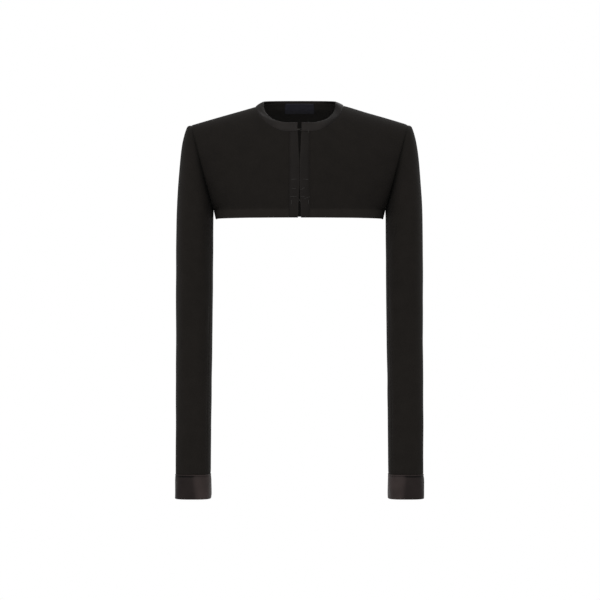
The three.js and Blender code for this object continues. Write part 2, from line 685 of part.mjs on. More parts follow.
// The facing lies inside the top of the back and of the binding, and the label inside the facing.
function makeFacingAndLabel(backGrid, bindingGrid) {
  const topRow = PANEL_RISES.length - 1;
  const panel = partOf(backGrid, topRow - FACING_PANEL_ROWS, topRow, SHOULDER_COLUMNS);
  const binding = partOf(bindingGrid, 0, BINDING_ROWS - 1, BAND_COLUMNS + NECK_COLUMNS);
  const facing = stacked(panel, binding);
  const facingOffset = CLOTH + SEAM_GAP;
  const facingWall = wallGeometry(insetEdges(facing, false), facingOffset + FACING_CLOTH, () => -facingOffset, false);
  addPiece("back_neck_facing", facingWall, LINING);
  const rows = facing.points.length;
  const part = partOf(facing, FACING_PANEL_ROWS - 1, rows - 1, NECK_COLUMNS - LABEL_COLUMNS);
  const label = shortened(part, 1 - LABEL_PANEL_SHARE);
  const labelOffset = facingOffset + FACING_CLOTH + SEAM_GAP;
  const labelWall = wallGeometry(insetEdges(label, false), labelOffset + LABEL_CLOTH, () => -labelOffset, false);
  addPiece("label", labelWall, LABEL_COLOUR);
}

// A place on the inner face of the bands or binding near the centre front, with the ways up and in from it.
function centreFrontPlace(height, across) {
  const column = neckColumn(Math.abs(across), -1);
  const seamHeight = panelPoint(column, 1).z;
  const onBinding = height > seamHeight;
  const pointAt = (rise) => (onBinding ? neckPoint(column, rise) : panelPoint(column, rise));
  const openHeight = NECK_FRONT[0].openZ;
  const rise = onBinding
    ? (height - seamHeight) / (openHeight - seamHeight)
    : reachOf(column.curve, -1, height) / column.reach;
  const step = 0.05;
  const up = pointAt(rise + step).sub(pointAt(rise - step)).setX(0).normalize();
  const inward = new THREE.Vector3(0, up.z, -up.y);
  const place = pointAt(rise).addScaledVector(inward, CLOTH + SEAM_GAP + WIRE_RADIUS);
  return { place: place.setX(across), up, inward };
}

function wireGeometry(wire, height) {
  const mirroredHalf = wire.slice(0, -1).reverse().map((row) => ({ ...row, up: -row.up }));
  const route = [...wire, ...mirroredHalf].map((row) => {
    const { place, up, inward } = centreFrontPlace(height, row.across);
    return place.addScaledVector(inward, row.depth).addScaledVector(up, row.up);
  });
  const corners = spread(0, 360, WIRE_SIDES).slice(1);
  const cornerAt = (turn) => new THREE.Vector2(Math.cos(turn * DEGREE), Math.sin(turn * DEGREE));
  const section = new THREE.Shape(corners.map((turn) => cornerAt(turn).multiplyScalar(WIRE_RADIUS)));
  const extrudePath = new THREE.CatmullRomCurve3(route);
  return new THREE.ExtrudeGeometry(section, { steps: WIRE_STEPS, extrudePath, bevelEnabled: false });
}

function makeFasteners() {
  FASTENER_HEIGHTS.forEach((height, index) => {
    addPiece("hook_" + (index + 1), wireGeometry(HOOK_WIRE, height), WIRE_FINISH);
    addPiece("eye_" + (index + 1), wireGeometry(EYE_WIRE, height), WIRE_FINISH);
  });
}

makeFronts();
makeFrontBands();
makeFacingAndLabel(makeBack(), makeNeckBinding());
makeSleeves();
makeCuffs();
makeFasteners();

export default jacket;
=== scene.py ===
"""Cropped bolero jacket, filled out as on a wearer: cloth pieces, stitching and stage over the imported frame."""
import math

import bpy
import numpy as np
from bpy.props import FloatProperty, FloatVectorProperty, IntProperty, PointerProperty
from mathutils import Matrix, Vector


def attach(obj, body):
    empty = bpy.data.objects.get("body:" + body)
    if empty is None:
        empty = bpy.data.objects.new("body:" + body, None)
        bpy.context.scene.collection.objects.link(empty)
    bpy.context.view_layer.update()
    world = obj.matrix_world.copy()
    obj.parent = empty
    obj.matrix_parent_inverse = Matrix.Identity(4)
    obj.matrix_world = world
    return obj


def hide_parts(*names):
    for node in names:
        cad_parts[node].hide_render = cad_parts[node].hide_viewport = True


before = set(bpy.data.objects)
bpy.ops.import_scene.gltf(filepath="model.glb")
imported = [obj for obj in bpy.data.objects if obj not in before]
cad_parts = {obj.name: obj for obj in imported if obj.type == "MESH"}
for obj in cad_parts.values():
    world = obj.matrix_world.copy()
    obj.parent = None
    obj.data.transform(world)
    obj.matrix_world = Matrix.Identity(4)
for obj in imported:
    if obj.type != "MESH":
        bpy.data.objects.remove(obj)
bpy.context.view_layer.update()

bl_info = {
    "name": "Bolero jacket",
    "version": (1, 0, 0),
    "blender": (4, 2, 0),
    "location": "View3D > Sidebar > Jacket",
    "description": "Builds the cloth, stitching and stage of a cropped jacket",
    "category": "Object",
}

MM = 0.001
MIRROR = np.array((-1, 1, 1))
ALL_EDGES = ("start", "end", "top", "bottom")
SEWN_EDGES = ALL_EDGES[:3]

# Slot, outside and inside finish of each kind of cloth
CREPE = ("crepe", "crepe_look", "lining_look")
BAND_SATIN = ("satin", "band_shaded_look", "band_shaded_look")
BINDING_SATIN = ("satin", "satin_look", "satin_look")
CUFF_SATIN = ("satin", "cuff_look", "lining_look")
LINING = ("lining", "lining_look", "lining_look")
RIBBON = ("label", "label_look", "label_look")

# Cloth walls and their edges, in millimetres like all sizes but the stage's
CLOTH = 1.8
SLEEVE_CLOTH = 1.6
FACING_CLOTH = 1.0
LABEL_CLOTH = 0.7
LAYER_GAP = 0.3
SATIN_RISE = 0.5
SATIN_EDGE = 5
SATIN_WAVE_EDGE = 6
SEAM_REACH = 2.4
CALM_REACH = 9

# Body
HEM_HALF_WIDTH = 138.6
HEM_FRONT_DEPTH = 118
HEM_BACK_DEPTH = 97
HEM_HEIGHT = -174.6
HEM_BACK_RISE = 7
HEM_SQUARENESS = 2.3
HEM_TURN_UP = 14
HEM_LINE_SOFTNESS = 4
HEM_THICKENING = 0.35
SHOULDER_TIP = np.array((179.5, 0, -18.6))
SIDE_SEAM_SHARE = 0.1
EDGE_BLEND_START = 0.4
BAND_WIDTH = 16.6
BINDING_CROWN = 0.5
SIDE_NECK_DEPTH = 4
LABEL_HALF_WIDTH = 25.4
LABEL_SAG = 0.013

# The wearer's left shoulder: how much higher it stands, more at the side of the neck, and where that fades
SHOULDER_LIFT = 1.2
NECK_SIDE_LIFT = 0.9
NECK_SIDE_AT = 82
NECK_SIDE_REACH = 22
LIFT_START = 61
LIFT_FADE_IN = 13
LIFT_END = 187
LIFT_FADE_OUT = 15
LIFT_FLOOR = -120
LIFT_FADE_UP = 70

# Sleeves and cuffs
SLEEVE_RADIUS = 48
FINE_SLEEVE_END = 0.27
CUFF_BOTTOM = -635
CUFF_FORWARD = -5
CUFF_SPREAD = 0.4
CUFF_EASE = 7
STITCH_LIFT = 0.22
TACK_LIFT = 1.15

# The sunk line of stitching below a cuff's top, and its place as a share of the cuff's height
CUFF_LINE = 3.0
CUFF_LINE_DEPTH = 0.45
CUFF_LINE_WIDTH = 0.7
CUFF_STITCH_SHARE = 0.0655

# Painted light and shade of a cuff: the leaning line where light turns to dark, its stitched line and its two
# edges
CUFF_TURN_X = 175.5
CUFF_TURN_Z = -615
CUFF_TURN_LEAN = 0.12
CUFF_TURN_SOFTNESS = 11
CUFF_CONTRAST = 1.43
CUFF_LINE_SHADE = 1.3
CUFF_LINE_SHADE_WIDTH = 0.9
CUFF_TOP_LIGHT = 0.6
CUFF_TOP_REACH = 1.4
CUFF_EDGE_SHADE = 1.2
CUFF_EDGE_REACH = 1.2

# Painted shade of a sleeve beside the armhole, at the shoulder and how much more at the underarm
SHADE_TOP = -30
SHADE_DROP = 110
SHADE_WIDTH = 1.6
SHADE_WIDENING = 7.0
SHADE_DEPTH = 0.25
SHADE_DEEPENING = 0.7
SLEEVE_LIGHT = 0.36
SLEEVE_LIGHT_REACH = 40

# Painted shade of the binding at the sides of the neck
BINDING_SHADE_LEFT = 0.5
BINDING_SHADE_RIGHT = 0.25
BINDING_SHADE_START = 30
BINDING_SHADE_REACH = 25

# How far a fold bows aside, as a share of its length, and how fast it dies away at its ends
FOLD_BOW = 0.08
FOLD_END_FADE = 2.2

# Crossed waves of laid cloth: share of the whole, lengths along x, y and z, and start
RIPPLES = (
    (1, (17.3, math.inf, 41.0), 0.6),
    (0.7, (-33.0, 27.0, 14.1), 0),
    (0.5, (9.7, math.inf, 9.7), 1.9),
    (0.4, (math.inf, 8.3, 23.0), 0),
)

# Stage, in metres
FLOOR_RADIUS = 2.2
FLOOR_HEIGHT = -1.75
FLOOR_COLOUR = (0.9, 0.9, 0.9)
CAMERA_PLACE = (0.00083, -5.0, -0.3084)
CAMERA_LENS = 180.7


class Table:
    """Rows with named columns, read smoothly at a place in one of the columns."""

    def __init__(self, names, rows):
        self.names = names.split()
        self.rows = np.array(rows, float)

    def column(self, name):
        return self.rows[:, self.names.index(name)]

    def with_columns(self, names, values):
        return Table(" ".join(self.names) + " " + names, np.column_stack((self.rows, values)))

    def with_length(self, names):
        steps = np.diff(np.column_stack([self.column(name) for name in names]), axis=0)
        lengths = np.concatenate(((0,), np.cumsum(np.linalg.norm(steps, axis=1))))
        return self.with_columns("length", lengths)

    def mirrored_start(self, names):
        """The same table with its second row also in front of the first, turned over in some columns."""
        first = self.rows[1].copy()
        for name in names:
            first[self.names.index(name)] *= -1
        return Table(" ".join(self.names), np.vstack((first, self.rows)))

    def at(self, key, place):
        """All columns at a place, as a dictionary."""
        keys = self.column(key)
        rows = self.rows
        if keys[0] > keys[-1]:
            keys = keys[::-1]
            rows = rows[::-1]
        place = min(max(place, keys[0]), keys[-1])
        low = int(np.clip(np.searchsorted(keys, place, side="left") - 1, 0, len(keys) - 2))
        slopes = []
        for index in (low, low + 1):
            before = max(index - 1, 0)
            after = min(index + 1, len(keys) - 1)
            slopes.append((rows[after] - rows[before]) / (keys[after] - keys[before]))
        span = keys[low + 1] - keys[low]
        share = (place - keys[low]) / span
        square = share**2
        cube = share**3
        found = (
            (2 * cube - 3 * square + 1) * rows[low]
            + (cube - 2 * square + share) * span * slopes[0]
            + (3 * square - 2 * cube) * rows[low + 1]
            + (cube - square) * span * slopes[1]
        )
        return dict(zip(self.names, found))


# The neck, from the centre front round to the centre back: the opening's edge, and where the binding's seam
# lies on the panels, by its height in front and by its depth behind.
NECK_FRONT = Table("open_x open_y open_z seam_x seam_value", [
    (0, -62, -16.8, 0, -32.3),
    (22.3, -59.5, -16.7, 26.7, -30.8),
    (34.3, -53.5, -14.3, 40.2, -25.9),
    (44.8, -44, -9.9, 52.2, -18.1),
    (54, -30, -0.9, 61.5, -9),
    (57.9, -19, 6.6, 67.8, -1.7),
    (59.6, -6, 17.2, 72.3, 8.8),
    (59.8, 4, 21.2, 73.6, 12.3),
])
NECK_BACK = Table("open_x open_y open_z seam_x seam_value", [
    (0, 50, 25.5, 0, 54),
    (27, 46.4, 25.2, 28.5, 50.2),
    (48, 33, 24.1, 58, 33.5),
    (57.5, 18, 22.7, 70.5, 18),
    (59.8, 4, 21.2, 73.6, 4),
])
SIDE_NECK = np.array((73.6, SIDE_NECK_DEPTH, 12.3))
NECK_SHARE = SIDE_NECK[0] / SHOULDER_TIP[0]

# How each column of a panel leaves the hem and comes down from the line of the shoulders.
COLUMNS = {
    -1: Table("across hem_x hem_y hem_z top_x top_y top_z", [
        (0, 0, 6, 62, 0, -76, -8),
        (0.2, 0, 5, 58, 0, -74, -8),
        (0.41, -2, 3, 52, 4, -68, -6),
        (0.7, 0, -22, 46, 4, -66, -8),
        (1, 4, -58, 22, 0, -60, -18),
    ]),
    1: Table("across hem_x hem_y hem_z top_x top_y top_z", [
        (0, 0, 6, 72, 0, 94, 12),
        (0.2, 0, 7, 68, 0, 88, 6),
        (0.41, -2, 12, 58, 4, 72, -4),
        (0.7, 0, 32, 48, 4, 64, -8),
        (1, 4, 58, 24, 0, 58, -18),
    ]).mirrored_start(("across",)),
}

# Half the space between the two fronts, by height.
FRONT_OPENING = Table("height half", [
    (-173.5, 2.4),
    (-152, 1.7),
    (-142, 1.1),
    (-129, 0.6),
    (-120, 0.15),
    (-86, 0.15),
    (-79, 0.45),
    (-60, 1.6),
    (-42, 2.4),
    (-28, 3.4),
    (-16, 3.4),
])

# Sleeve sections from the armhole to the wrist.
SLEEVE = Table("inner_x inner_z outer_x outer_z middle depth squareness", [
    (142.2, -160.3, 179.5, -18.6, 0, 50, 2.15),
    (142.4, -161.8, 185.3, -20.4, 0, 53.2, 2.2),
    (142.5, -163, 188.2, -26, 0, 55.6, 2.2),
    (142.6, -164.3, 191.4, -36.2, 0, 57.8, 2.25),
    (142.7, -166, 194.6, -51, 0, 59.6, 2.3),
    (142.8, -168.5, 197.9, -76, 0.5, 61.2, 2.35),
    (142.9, -172.5, 200.9, -112, 1, 62.2, 2.4),
    (143, -179, 203, -150, 2, 62.5, 2.45),
    (143.2, -196, 203.9, -190, 3, 62, 2.5),
    (143.5, -240, 204.3, -240, 5, 60.5, 2.55),
    (144.1, -300, 204.8, -300, 6.5, 58, 2.6),
    (144.8, -360, 205.1, -360, 5.5, 55.5, 2.6),
    (145.3, -420, 205.1, -420, 0, 52, 2.65),
    (145.8, -480, 204.9, -480, -9, 47.5, 2.75),
    (146.3, -540, 204.7, -540, -19, 43.6, 2.9),
    (146.6, -594.8, 204.3, -594.8, -27, 41.3, 3.1),
]).with_length(("outer_x", "outer_z"))
SLEEVE_LENGTH = SLEEVE.column("length")[-1]
SLEEVE_SEAMS = Table(
    "along front back",
    [(0, 202.5, 112.5), (0.5, 210, 134), (0.75, 220, 138), (1, 225, 135)],
)

# Soft folds, one a row: where each starts and ends, across and up, the distance over which it dies away, and
# its height, positive for a ridge. The body's run in the front view, x to the wearer's left and z up.
FRONT_FOLDS = (
    (-150, -120, -96, -163, 7, -0.9),
    (-143, -100, -104, -150, 9, 0.7),
    (-160, -84, -120, -104, 10, -0.6),
    (-126, -44, -84, -66, 16, -0.6),
    (-66, -78, -22, -92, 14, 0.4),
    (-60, -128, -20, -108, 12, -0.45),
    (-84, -170, -68, -150, 7, -0.6),
    (-46, -172, -54, -148, 6, -0.5),
    (-112, -20, -92, -54, 14, 0.5),
    (149, -122, 92, -160, 8, -0.8),
    (142, -98, 100, -140, 10, 0.75),
    (158, -80, 116, -108, 9, -0.6),
    (118, -40, 88, -72, 15, -0.6),
    (60, -84, 24, -100, 13, 0.45),
    (68, -132, 22, -116, 12, -0.4),
    (52, -172, 58, -149, 6, -0.6),
    (-70, -162.4, -57, -162.2, 2.4, 0.6),
    (50, -162, 63, -162.2, 2.4, 0.6),
    (96, -171, 86, -151, 8, -0.5),
    (104, -18, 90, -48, 15, 0.5),
)
BACK_FOLDS = (
    (-150, -118, -90, -160, 8, -0.9),
    (-140, -92, -88, -128, 11, 0.8),
    (-152, -60, -96, -40, 13, -0.7),
    (-60, -12, 8, -24, 12, -0.6),
    (-40, -34, 46, -40, 14, 0.5),
    (-70, -172, -62, -146, 8, -0.5),
    (-16, -172, -8, -120, 12, 0.5),
    (26, -172, 20, -128, 11, -0.5),
    (148, -120, 94, -156, 8, -0.85),
    (140, -96, 92, -132, 10, 0.8),
    (154, -64, 100, -46, 13, -0.7),
    (84, -172, 78, -148, 8, -0.5),
)
# Folds of a sleeve, across by the turn round it: 0 outside, 90 back, 180 inside and 270 front.
SLEEVE_FOLDS = {
    1: (
        (262, -150, 228, -205, 8, -1.1),
        (282, -170, 236, -236, 10, 0.9),
        (300, -120, 288, -230, 12, -0.6),
        (228, -262, 292, -330, 13, -0.9),
        (220, -300, 276, -372, 12, 0.8),
        (236, -372, 300, -430, 13, -0.7),
        (226, -450, 268, -560, 12, 0.5),
        (298, -470, 312, -590, 11, -0.6),
        (60, -70, 96, -150, 14, -0.8),
        (100, -150, 140, -220, 11, 0.9),
        (84, -262, 136, -322, 13, -1.0),
        (74, -312, 130, -366, 12, 0.9),
        (88, -372, 140, -420, 12, -0.8),
        (60, -440, 96, -570, 14, 0.6),
        (10, -120, 20, -330, 16, 0.5),
        (352, -380, 8, -560, 16, -0.5),
        (330, -60, 318, -140, 14, 0.6),
    ),
    -1: (
        (266, -146, 230, -198, 9, -1.0),
        (278, -178, 240, -246, 10, 0.8),
        (306, -130, 290, -250, 12, -0.6),
        (232, -280, 286, -340, 12, -0.9),
        (224, -322, 280, -398, 13, 0.8),
        (240, -396, 306, -446, 12, -0.7),
        (230, -470, 272, -576, 12, 0.5),
        (304, -440, 316, -580, 11, -0.5),
        (64, -80, 98, -160, 14, -0.8),
        (98, -160, 138, -238, 12, 0.9),
        (82, -278, 134, -336, 13, -1.0),
        (76, -330, 128, -380, 11, 0.9),
        (90, -390, 142, -436, 13, -0.8),
        (56, -460, 92, -580, 14, 0.6),
        (14, -150, 10, -360, 16, 0.5),
        (348, -340, 356, -540, 16, -0.5),
        (332, -54, 322, -130, 14, 0.6),
    ),
}
# Tacks of sewing thread on the bands: x and z of both ends in the front view, in millimetres.
BAND_TACKS = (
    (-12.4, -112.4, -5.6, -112),
    (5.8, -112, 13.6, -112.5),
    (-12.2, -127.8, -6.6, -127.4),
    (1.4, -129.2, 7.4, -126.4),
    (-14.8, -140.8, -5.4, -140.4),
    (2.4, -140.6, 8, -141),
    (8.6, -144, 15.8, -141),
    (-13.2, -147.4, -12.8, -152),
    (14.4, -147, 14.7, -152.6),
    (14.5, -30.4, 15, -34.8),
    (11.2, -30.8, 14, -30.2),
)


def smooth(share):
    held = np.clip(share, 0, 1)
    return held * held * (3 - 2 * held)


def unit(vectors):
    vectors = np.asarray(vectors, float)
    return vectors / np.maximum(np.linalg.norm(vectors, axis=-1, keepdims=True), 1e-12)


def squared(value, squareness):
    return np.sign(value) * np.abs(value) ** (2 / squareness)


def bezier(points, place):
    place = np.asarray(place, float)[..., None]
    rest = 1 - place
    a, b, c, d = points
    return rest**3 * a + 3 * rest**2 * place * b + 3 * rest * place**2 * c + place**3 * d


def hem_point(across, depth):
    """A point of the hem's outline, from the centre at 0 to the side seam at 1."""
    ratio = SHOULDER_TIP[0] / HEM_HALF_WIDTH
    share = ratio * across - (ratio - 1) * across ** (ratio / (ratio - 1))
    fullness = max(1 - share**HEM_SQUARENESS, 0) ** (1 / HEM_SQUARENESS)
    height = HEM_HEIGHT + (HEM_BACK_RISE * fullness if depth > 0 else 0)
    return np.array((HEM_HALF_WIDTH * share, depth * fullness, height))


def sleeve_ring(along, turns):
    """Points of the sleeve's outer face at one place along it."""
    row = SLEEVE.at("length", along * SLEEVE_LENGTH)
    turns = np.radians(turns)
    outward = (squared(np.cos(turns), row["squareness"]) + 1) / 2
    backward = squared(np.sin(turns), row["squareness"])
    return np.stack(
        (
            row["inner_x"] + (row["outer_x"] - row["inner_x"]) * outward,
            row["middle"] + row["depth"] * backward,
            row["inner_z"] + (row["outer_z"] - row["inner_z"]) * outward,
        ),
        axis=-1,
    )


def armhole_turns(places, side):
    """Turns round the sleeve's top where a panel's free edge meets it, from the side seam up."""
    share = np.clip((np.asarray(places, float) - SIDE_SEAM_SHARE) / (1 - SIDE_SEAM_SHARE), 0, 1)
    return 180 - side * 180 * share


def armhole_normals(turns):
    """Outward directions along the armhole, the same for the sleeve and the panels."""
    along = sleeve_ring(0, turns + 1) - sleeve_ring(0, turns - 1)
    across = sleeve_ring(0, 0) - sleeve_ring(0, 180)
    return unit(np.cross(along, np.cross(across, (0, 1, 0))))


def panel_edge(places, side):
    """The free edge of a panel: the short side seam, then half of the armhole."""
    low = np.clip(np.asarray(places, float) / SIDE_SEAM_SHARE, 0, 1)[..., None]
    hem = hem_point(1, 0)
    side_seam = hem + (sleeve_ring(0, 180) - hem) * low
    return np.where(low < 1, side_seam, sleeve_ring(0, armhole_turns(places, side)))


def shoulder_line(across):
    """The shoulder seam, carried on over the neck opening in a curve that levels out."""
    seam = SHOULDER_TIP - SIDE_NECK
    point = SIDE_NECK + seam * (across - NECK_SHARE) / (1 - NECK_SHARE)
    if across < NECK_SHARE:
        slope = seam[2] / seam[0]
        point[2] = SIDE_NECK[2] + slope * (point[0] ** 2 - SIDE_NECK[0] ** 2) / (2 * SIDE_NECK[0])
        point[1] = SIDE_NECK[1]
    return point


def column_curve(across, side):
    """Bezier points of a line up a panel, from the hem to the line of the shoulders."""
    row = COLUMNS[side].at("across", across)
    hem = hem_point(across, -HEM_FRONT_DEPTH if side < 0 else HEM_BACK_DEPTH)
    top = shoulder_line(across)
    leave = hem + np.array((row["hem_x"], row["hem_y"], row["hem_z"]))
    arrive = top + np.array((row["top_x"], row["top_y"], row["top_z"]))
    return np.array((hem, leave, arrive, top))


HALVINGS = 30
SEAM_TRIES = 6
BACK_SEARCH_START = 0.3
EDGE_CURVES = {-1: column_curve(1, -1), 1: column_curve(1, 1)}


def reach_of(curve, side, value):
    """Where a column's curve meets a height in front, or a depth behind, found by halving."""
    low = 0 if side < 0 else BACK_SEARCH_START
    high = 1
    for _ in range(HALVINGS):
        middle = (low + high) / 2
        point = bezier(curve, middle)
        before = point[2] < value if side < 0 else point[1] > value
        low, high = (middle, high) if before else (low, middle)
    return high


def seam_place(row, side):
    """Which column meets a point of the neck seam, and how far up it."""
    across = row["seam_x"] / SHOULDER_TIP[0]
    reach = 1
    for _ in range(SEAM_TRIES):
        curve = column_curve(across, side)
        reach = reach_of(curve, side, row["seam_value"])
        across += (row["seam_x"] - bezier(curve, reach)[0]) / SHOULDER_TIP[0]
    return across, reach


def neck_table(rows, side):
    """The neck's rows with their columns, points and distance from the centre."""
    placed = []
    for values in rows.rows:
        row = dict(zip(rows.names, values))
        across, reach = seam_place(row, side)
        if row["seam_x"] == SIDE_NECK[0]:
            across, reach = NECK_SHARE, 1
        placed.append((across, reach, *bezier(column_curve(across, side), reach)))
    table = rows.with_columns("across reach x y z", placed).with_length(("x", "y", "z"))
    if side > 0:
        table = table.mirrored_start(("open_x", "seam_x", "across", "x", "length"))
    return table


NECKS = {-1: neck_table(NECK_FRONT, -1), 1: neck_table(NECK_BACK, 1)}


class Column:
    """One line up a panel. neck is its row of the neck table, if it ends at the neck seam."""

    def __init__(self, across, side, reach=1.0, neck=None):
        self.across = across
        self.side = side
        self.reach = reach
        self.neck = neck
        self.curve = column_curve(across, side)

    def points(self, rises):
        """Points up the panel, drawn to its free edge the more the nearer they are to it."""
        places = np.asarray(rises, float) * self.reach
        blend = smooth((self.across - EDGE_BLEND_START) / (1 - EDGE_BLEND_START))
        miss = panel_edge(places, self.side) - bezier(EDGE_CURVES[self.side], places)
        return bezier(self.curve, places) + miss * blend

    def neck_points(self, rises):
        """Points up the binding, from its seam to the opening."""
        rises = np.asarray(rises, float)[..., None]
        start = self.points(1.0)
        end = np.array((self.neck["open_x"], self.neck["open_y"], self.neck["open_z"]))
        found = start + (end - start) * rises
        outward = unit(found * np.array((1, 1, 0)))
        return found + outward * np.sin(np.pi * rises) * BINDING_CROWN


def neck_column(length, side):
    neck = NECKS[side].at("length", max(length, 0))
    return Column(neck["across"], side, neck["reach"], neck)


def ease(start, end, steps, fine_start=True, fine_end=True):
    """Values from start to end, closer together at the ends that are asked for."""
    share = np.linspace(0, 1, steps + 1)
    pull = 0.86
    if fine_start and fine_end:
        share = share - pull * np.sin(2 * np.pi * share) / (2 * np.pi)
    elif fine_start or fine_end:
        share = share + (pull if fine_end else -pull) * np.sin(np.pi * share) / np.pi
    return start + (end - start) * share


def joined(*lists):
    """Lists end to end, each without its first item if that closes the one before."""
    return [item for index, items in enumerate(lists) for item in list(items)[1 if index else 0:]]


BAND_LENGTH = NECKS[-1].at("x", BAND_WIDTH)["length"]
NECK_LENGTHS = {side: NECKS[side].column("length")[-1] for side in (-1, 1)}
PANEL_RISES = joined(ease(0, SIDE_SEAM_SHARE, 14, True, False), ease(SIDE_SEAM_SHARE, 1, 84, False, True))


def settled(grid):
    """The wearer's left shoulder stands a little higher than the right."""
    moved = grid.copy()
    x, z = grid[..., 0], grid[..., 2]
    across = smooth((x - LIFT_START) / LIFT_FADE_IN) * smooth((LIFT_END - x) / LIFT_FADE_OUT)
    lift = SHOULDER_LIFT + NECK_SIDE_LIFT * np.exp(-(((x - NECK_SIDE_AT) / NECK_SIDE_REACH) ** 2))
    moved[..., 2] += lift * across * smooth((z - LIFT_FLOOR) / LIFT_FADE_UP)
    return moved


def whole(half):
    """Rows from the wearer's left to the centre, carried on to the right."""
    return np.concatenate((half, (half * MIRROR)[..., -2::-1, :]), axis=-2)


def grid_normals(grid):
    across = np.gradient(grid, axis=1)
    up = np.gradient(grid, axis=0)
    return unit(np.cross(across, up))


def spans(grid, axis):
    """Distances between neighbouring points, up the grid or across it."""
    return np.linalg.norm(np.diff(grid, axis=axis), axis=2)


def edge_distances(grid):
    """Distance along the cloth from its start, end, bottom and top edges."""
    start = np.pad(np.cumsum(spans(grid, 1), axis=1), ((0, 0), (1, 0)))
    bottom = np.pad(np.cumsum(spans(grid, 0), axis=0), ((1, 0), (0, 0)))
    return {"start": start, "end": start[:, -1:] - start, "bottom": bottom, "top": bottom[-1:] - bottom}


def fold_rise(across, up, folds):
    """Rise of the cloth from a table of folds, at places given by two coordinates."""
    total = np.zeros_like(across)
    for from_across, from_up, to_across, to_up, width, height in folds:
        run_across = to_across - from_across
        run_up = to_up - from_up
        offset_across = across - from_across
        offset_up = up - from_up
        length = math.hypot(run_across, run_up)
        share = (offset_across * run_across + offset_up * run_up) / length**2
        bow = FOLD_BOW * length * np.sin(np.pi * np.clip(share, 0, 1))
        aside = (offset_across * run_up - offset_up * run_across) / length - bow
        fade = smooth(0.5 + FOLD_END_FADE * (0.5 - np.abs(share - 0.5)))
        total += height * fade * np.exp(-((aside / width) ** 2))
    return total


def ripple(points, size):
    """Slight unevenness of laid cloth."""
    waves = [share * np.sin((points / np.array(runs)).sum(axis=-1) + start) for share, runs, start in RIPPLES]
    return size * sum(waves)


def calm_edges(grid, rise, edges):
    """Lets folds die away at the seams."""
    distances = edge_distances(grid)
    for edge in edges:
        rise = rise * smooth(distances[edge] / CALM_REACH + 0.05)
    return rise


def satin_rise(distances, edges, base, fullness, wave):
    """Satin that stands fullest, and is least even, half way between two edges."""
    middle = np.minimum(distances[edges[0]], distances[edges[1]])
    return base + fullness * smooth(middle / SATIN_EDGE) + wave * smooth(middle / SATIN_WAVE_EDGE)


def round_edge(distance, radius):
    """How far a face falls towards a folded edge."""
    inside = np.clip(1 - distance / radius, 0, 1)
    return radius * (1 - np.sqrt(1 - inside**2))


def make_wall(
    name, grid, normals, wall, rise, inner_rise=0.0, free=(), seams=(), ditch_share=1.0, wrapped=False, wear=0.0
):
    """A thin shell with its outer face on the grid. Free edges are rounded, sewn edges sink into their seam."""
    grid = settled(grid)
    distances = edge_distances(grid)
    outer = np.zeros(grid.shape[:2]) + rise
    inner = np.zeros(grid.shape[:2]) + inner_rise - wall
    wear = np.zeros(grid.shape[:2]) + wear
    for edge in free:
        fall = round_edge(distances[edge], wall / 2)
        outer = outer - fall
        inner = inner + fall
    if seams:
        near = 1 - smooth(np.minimum.reduce([distances[edge] for edge in seams]) / SEAM_REACH)
        outer = outer - (sizes_now().seam_ditch * ditch_share + np.maximum(outer, 0)) * near
        inner = np.minimum(inner, -wall)
    outer_points = grid + normals * outer[..., None]
    inner_points = grid + normals * inner[..., None]
    if wrapped:
        outer_points, inner_points, wear = outer_points[:, :-1], inner_points[:, :-1], wear[:, :-1]
    rows, columns = outer_points.shape[:2]
    vertices = np.concatenate((outer_points.reshape(-1, 3), inner_points.reshape(-1, 3))) * MM
    index = np.arange(rows * columns).reshape(rows, columns)
    if wrapped:
        index = np.concatenate((index, index[:, :1]), axis=1)
    a, b, c, d = (part.ravel() for part in (index[:-1, :-1], index[:-1, 1:], index[1:, 1:], index[1:, :-1]))
    inner_start = rows * columns
    faces = [np.stack((a, b, c, d), axis=1), np.stack((a, d, c, b), axis=1) + inner_start]
    rims = [index[0, ::-1], index[-1, :]]
    if not wrapped:
        rims += [index[:, 0], index[::-1, -1]]
    for rim in rims:
        faces.append(np.stack((rim[:-1], rim[1:], rim[1:] + inner_start, rim[:-1] + inner_start), axis=1))
    is_inner = np.repeat((0, 1, 0), (len(a), len(a), sum(len(rim) - 1 for rim in rims)))
    mesh = bpy.data.meshes.new(name)
    mesh.from_pydata(vertices.tolist(), [], np.concatenate(faces).tolist())
    mesh.update()
    mesh.polygons.foreach_set("material_index", is_inner)
    mesh.polygons.foreach_set("use_smooth", np.ones(len(is_inner), bool))
    # A colour factor on each point: real pressing and wear, and painted highlights and painted shade.
    layer = mesh.attributes.new("wear", "FLOAT", "POINT")
    layer.data.foreach_set("value", np.tile(wear.ravel(), 2).astype(np.float32))
    return linked(name, mesh)


def linked(name, data):
    item = bpy.data.objects.new(name, data)
    bpy.context.scene.collection.objects.link(item)
    return item


def cloth_piece(node, grid, normals, wall, rise, finish, **edges):
    """A finished piece of cloth in the place of its solid."""
    slot, outside, inside = finish
    piece = make_wall(node, grid, normals, wall, rise, **edges)
    piece.data.materials.append(look(outside))
    piece.data.materials.append(look(inside))
    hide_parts(node)
    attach(piece, "root")


def both_sides(grid, normals):
    """A grid on the wearer's left, then on the right with its columns still anticlockwise."""
    yield 1, "left", grid, normals
    yield -1, "right", (grid * MIRROR)[:, ::-1], (normals * MIRROR)[:, ::-1]


SHOULDER_NORMAL = unit(np.cross((0, -1, 0), SHOULDER_TIP - SIDE_NECK))


def neck_seam_normal(column):
    """Direction out of the neck seam, half way between the panel's and the binding's."""
    step = 0.5
    length = column.neck["length"]
    before = neck_column(length - step, column.side).points(1.0)
    along = (neck_column(length + step, column.side).points(1.0) - before) * -column.side
    band = unit(np.cross(along, column.neck_points(0.5) - column.neck_points(0.0)))
    tip = bezier(column.curve, column.reach) - bezier(column.curve, column.reach - 0.01)
    return unit(band + unit(np.cross(along, tip)))


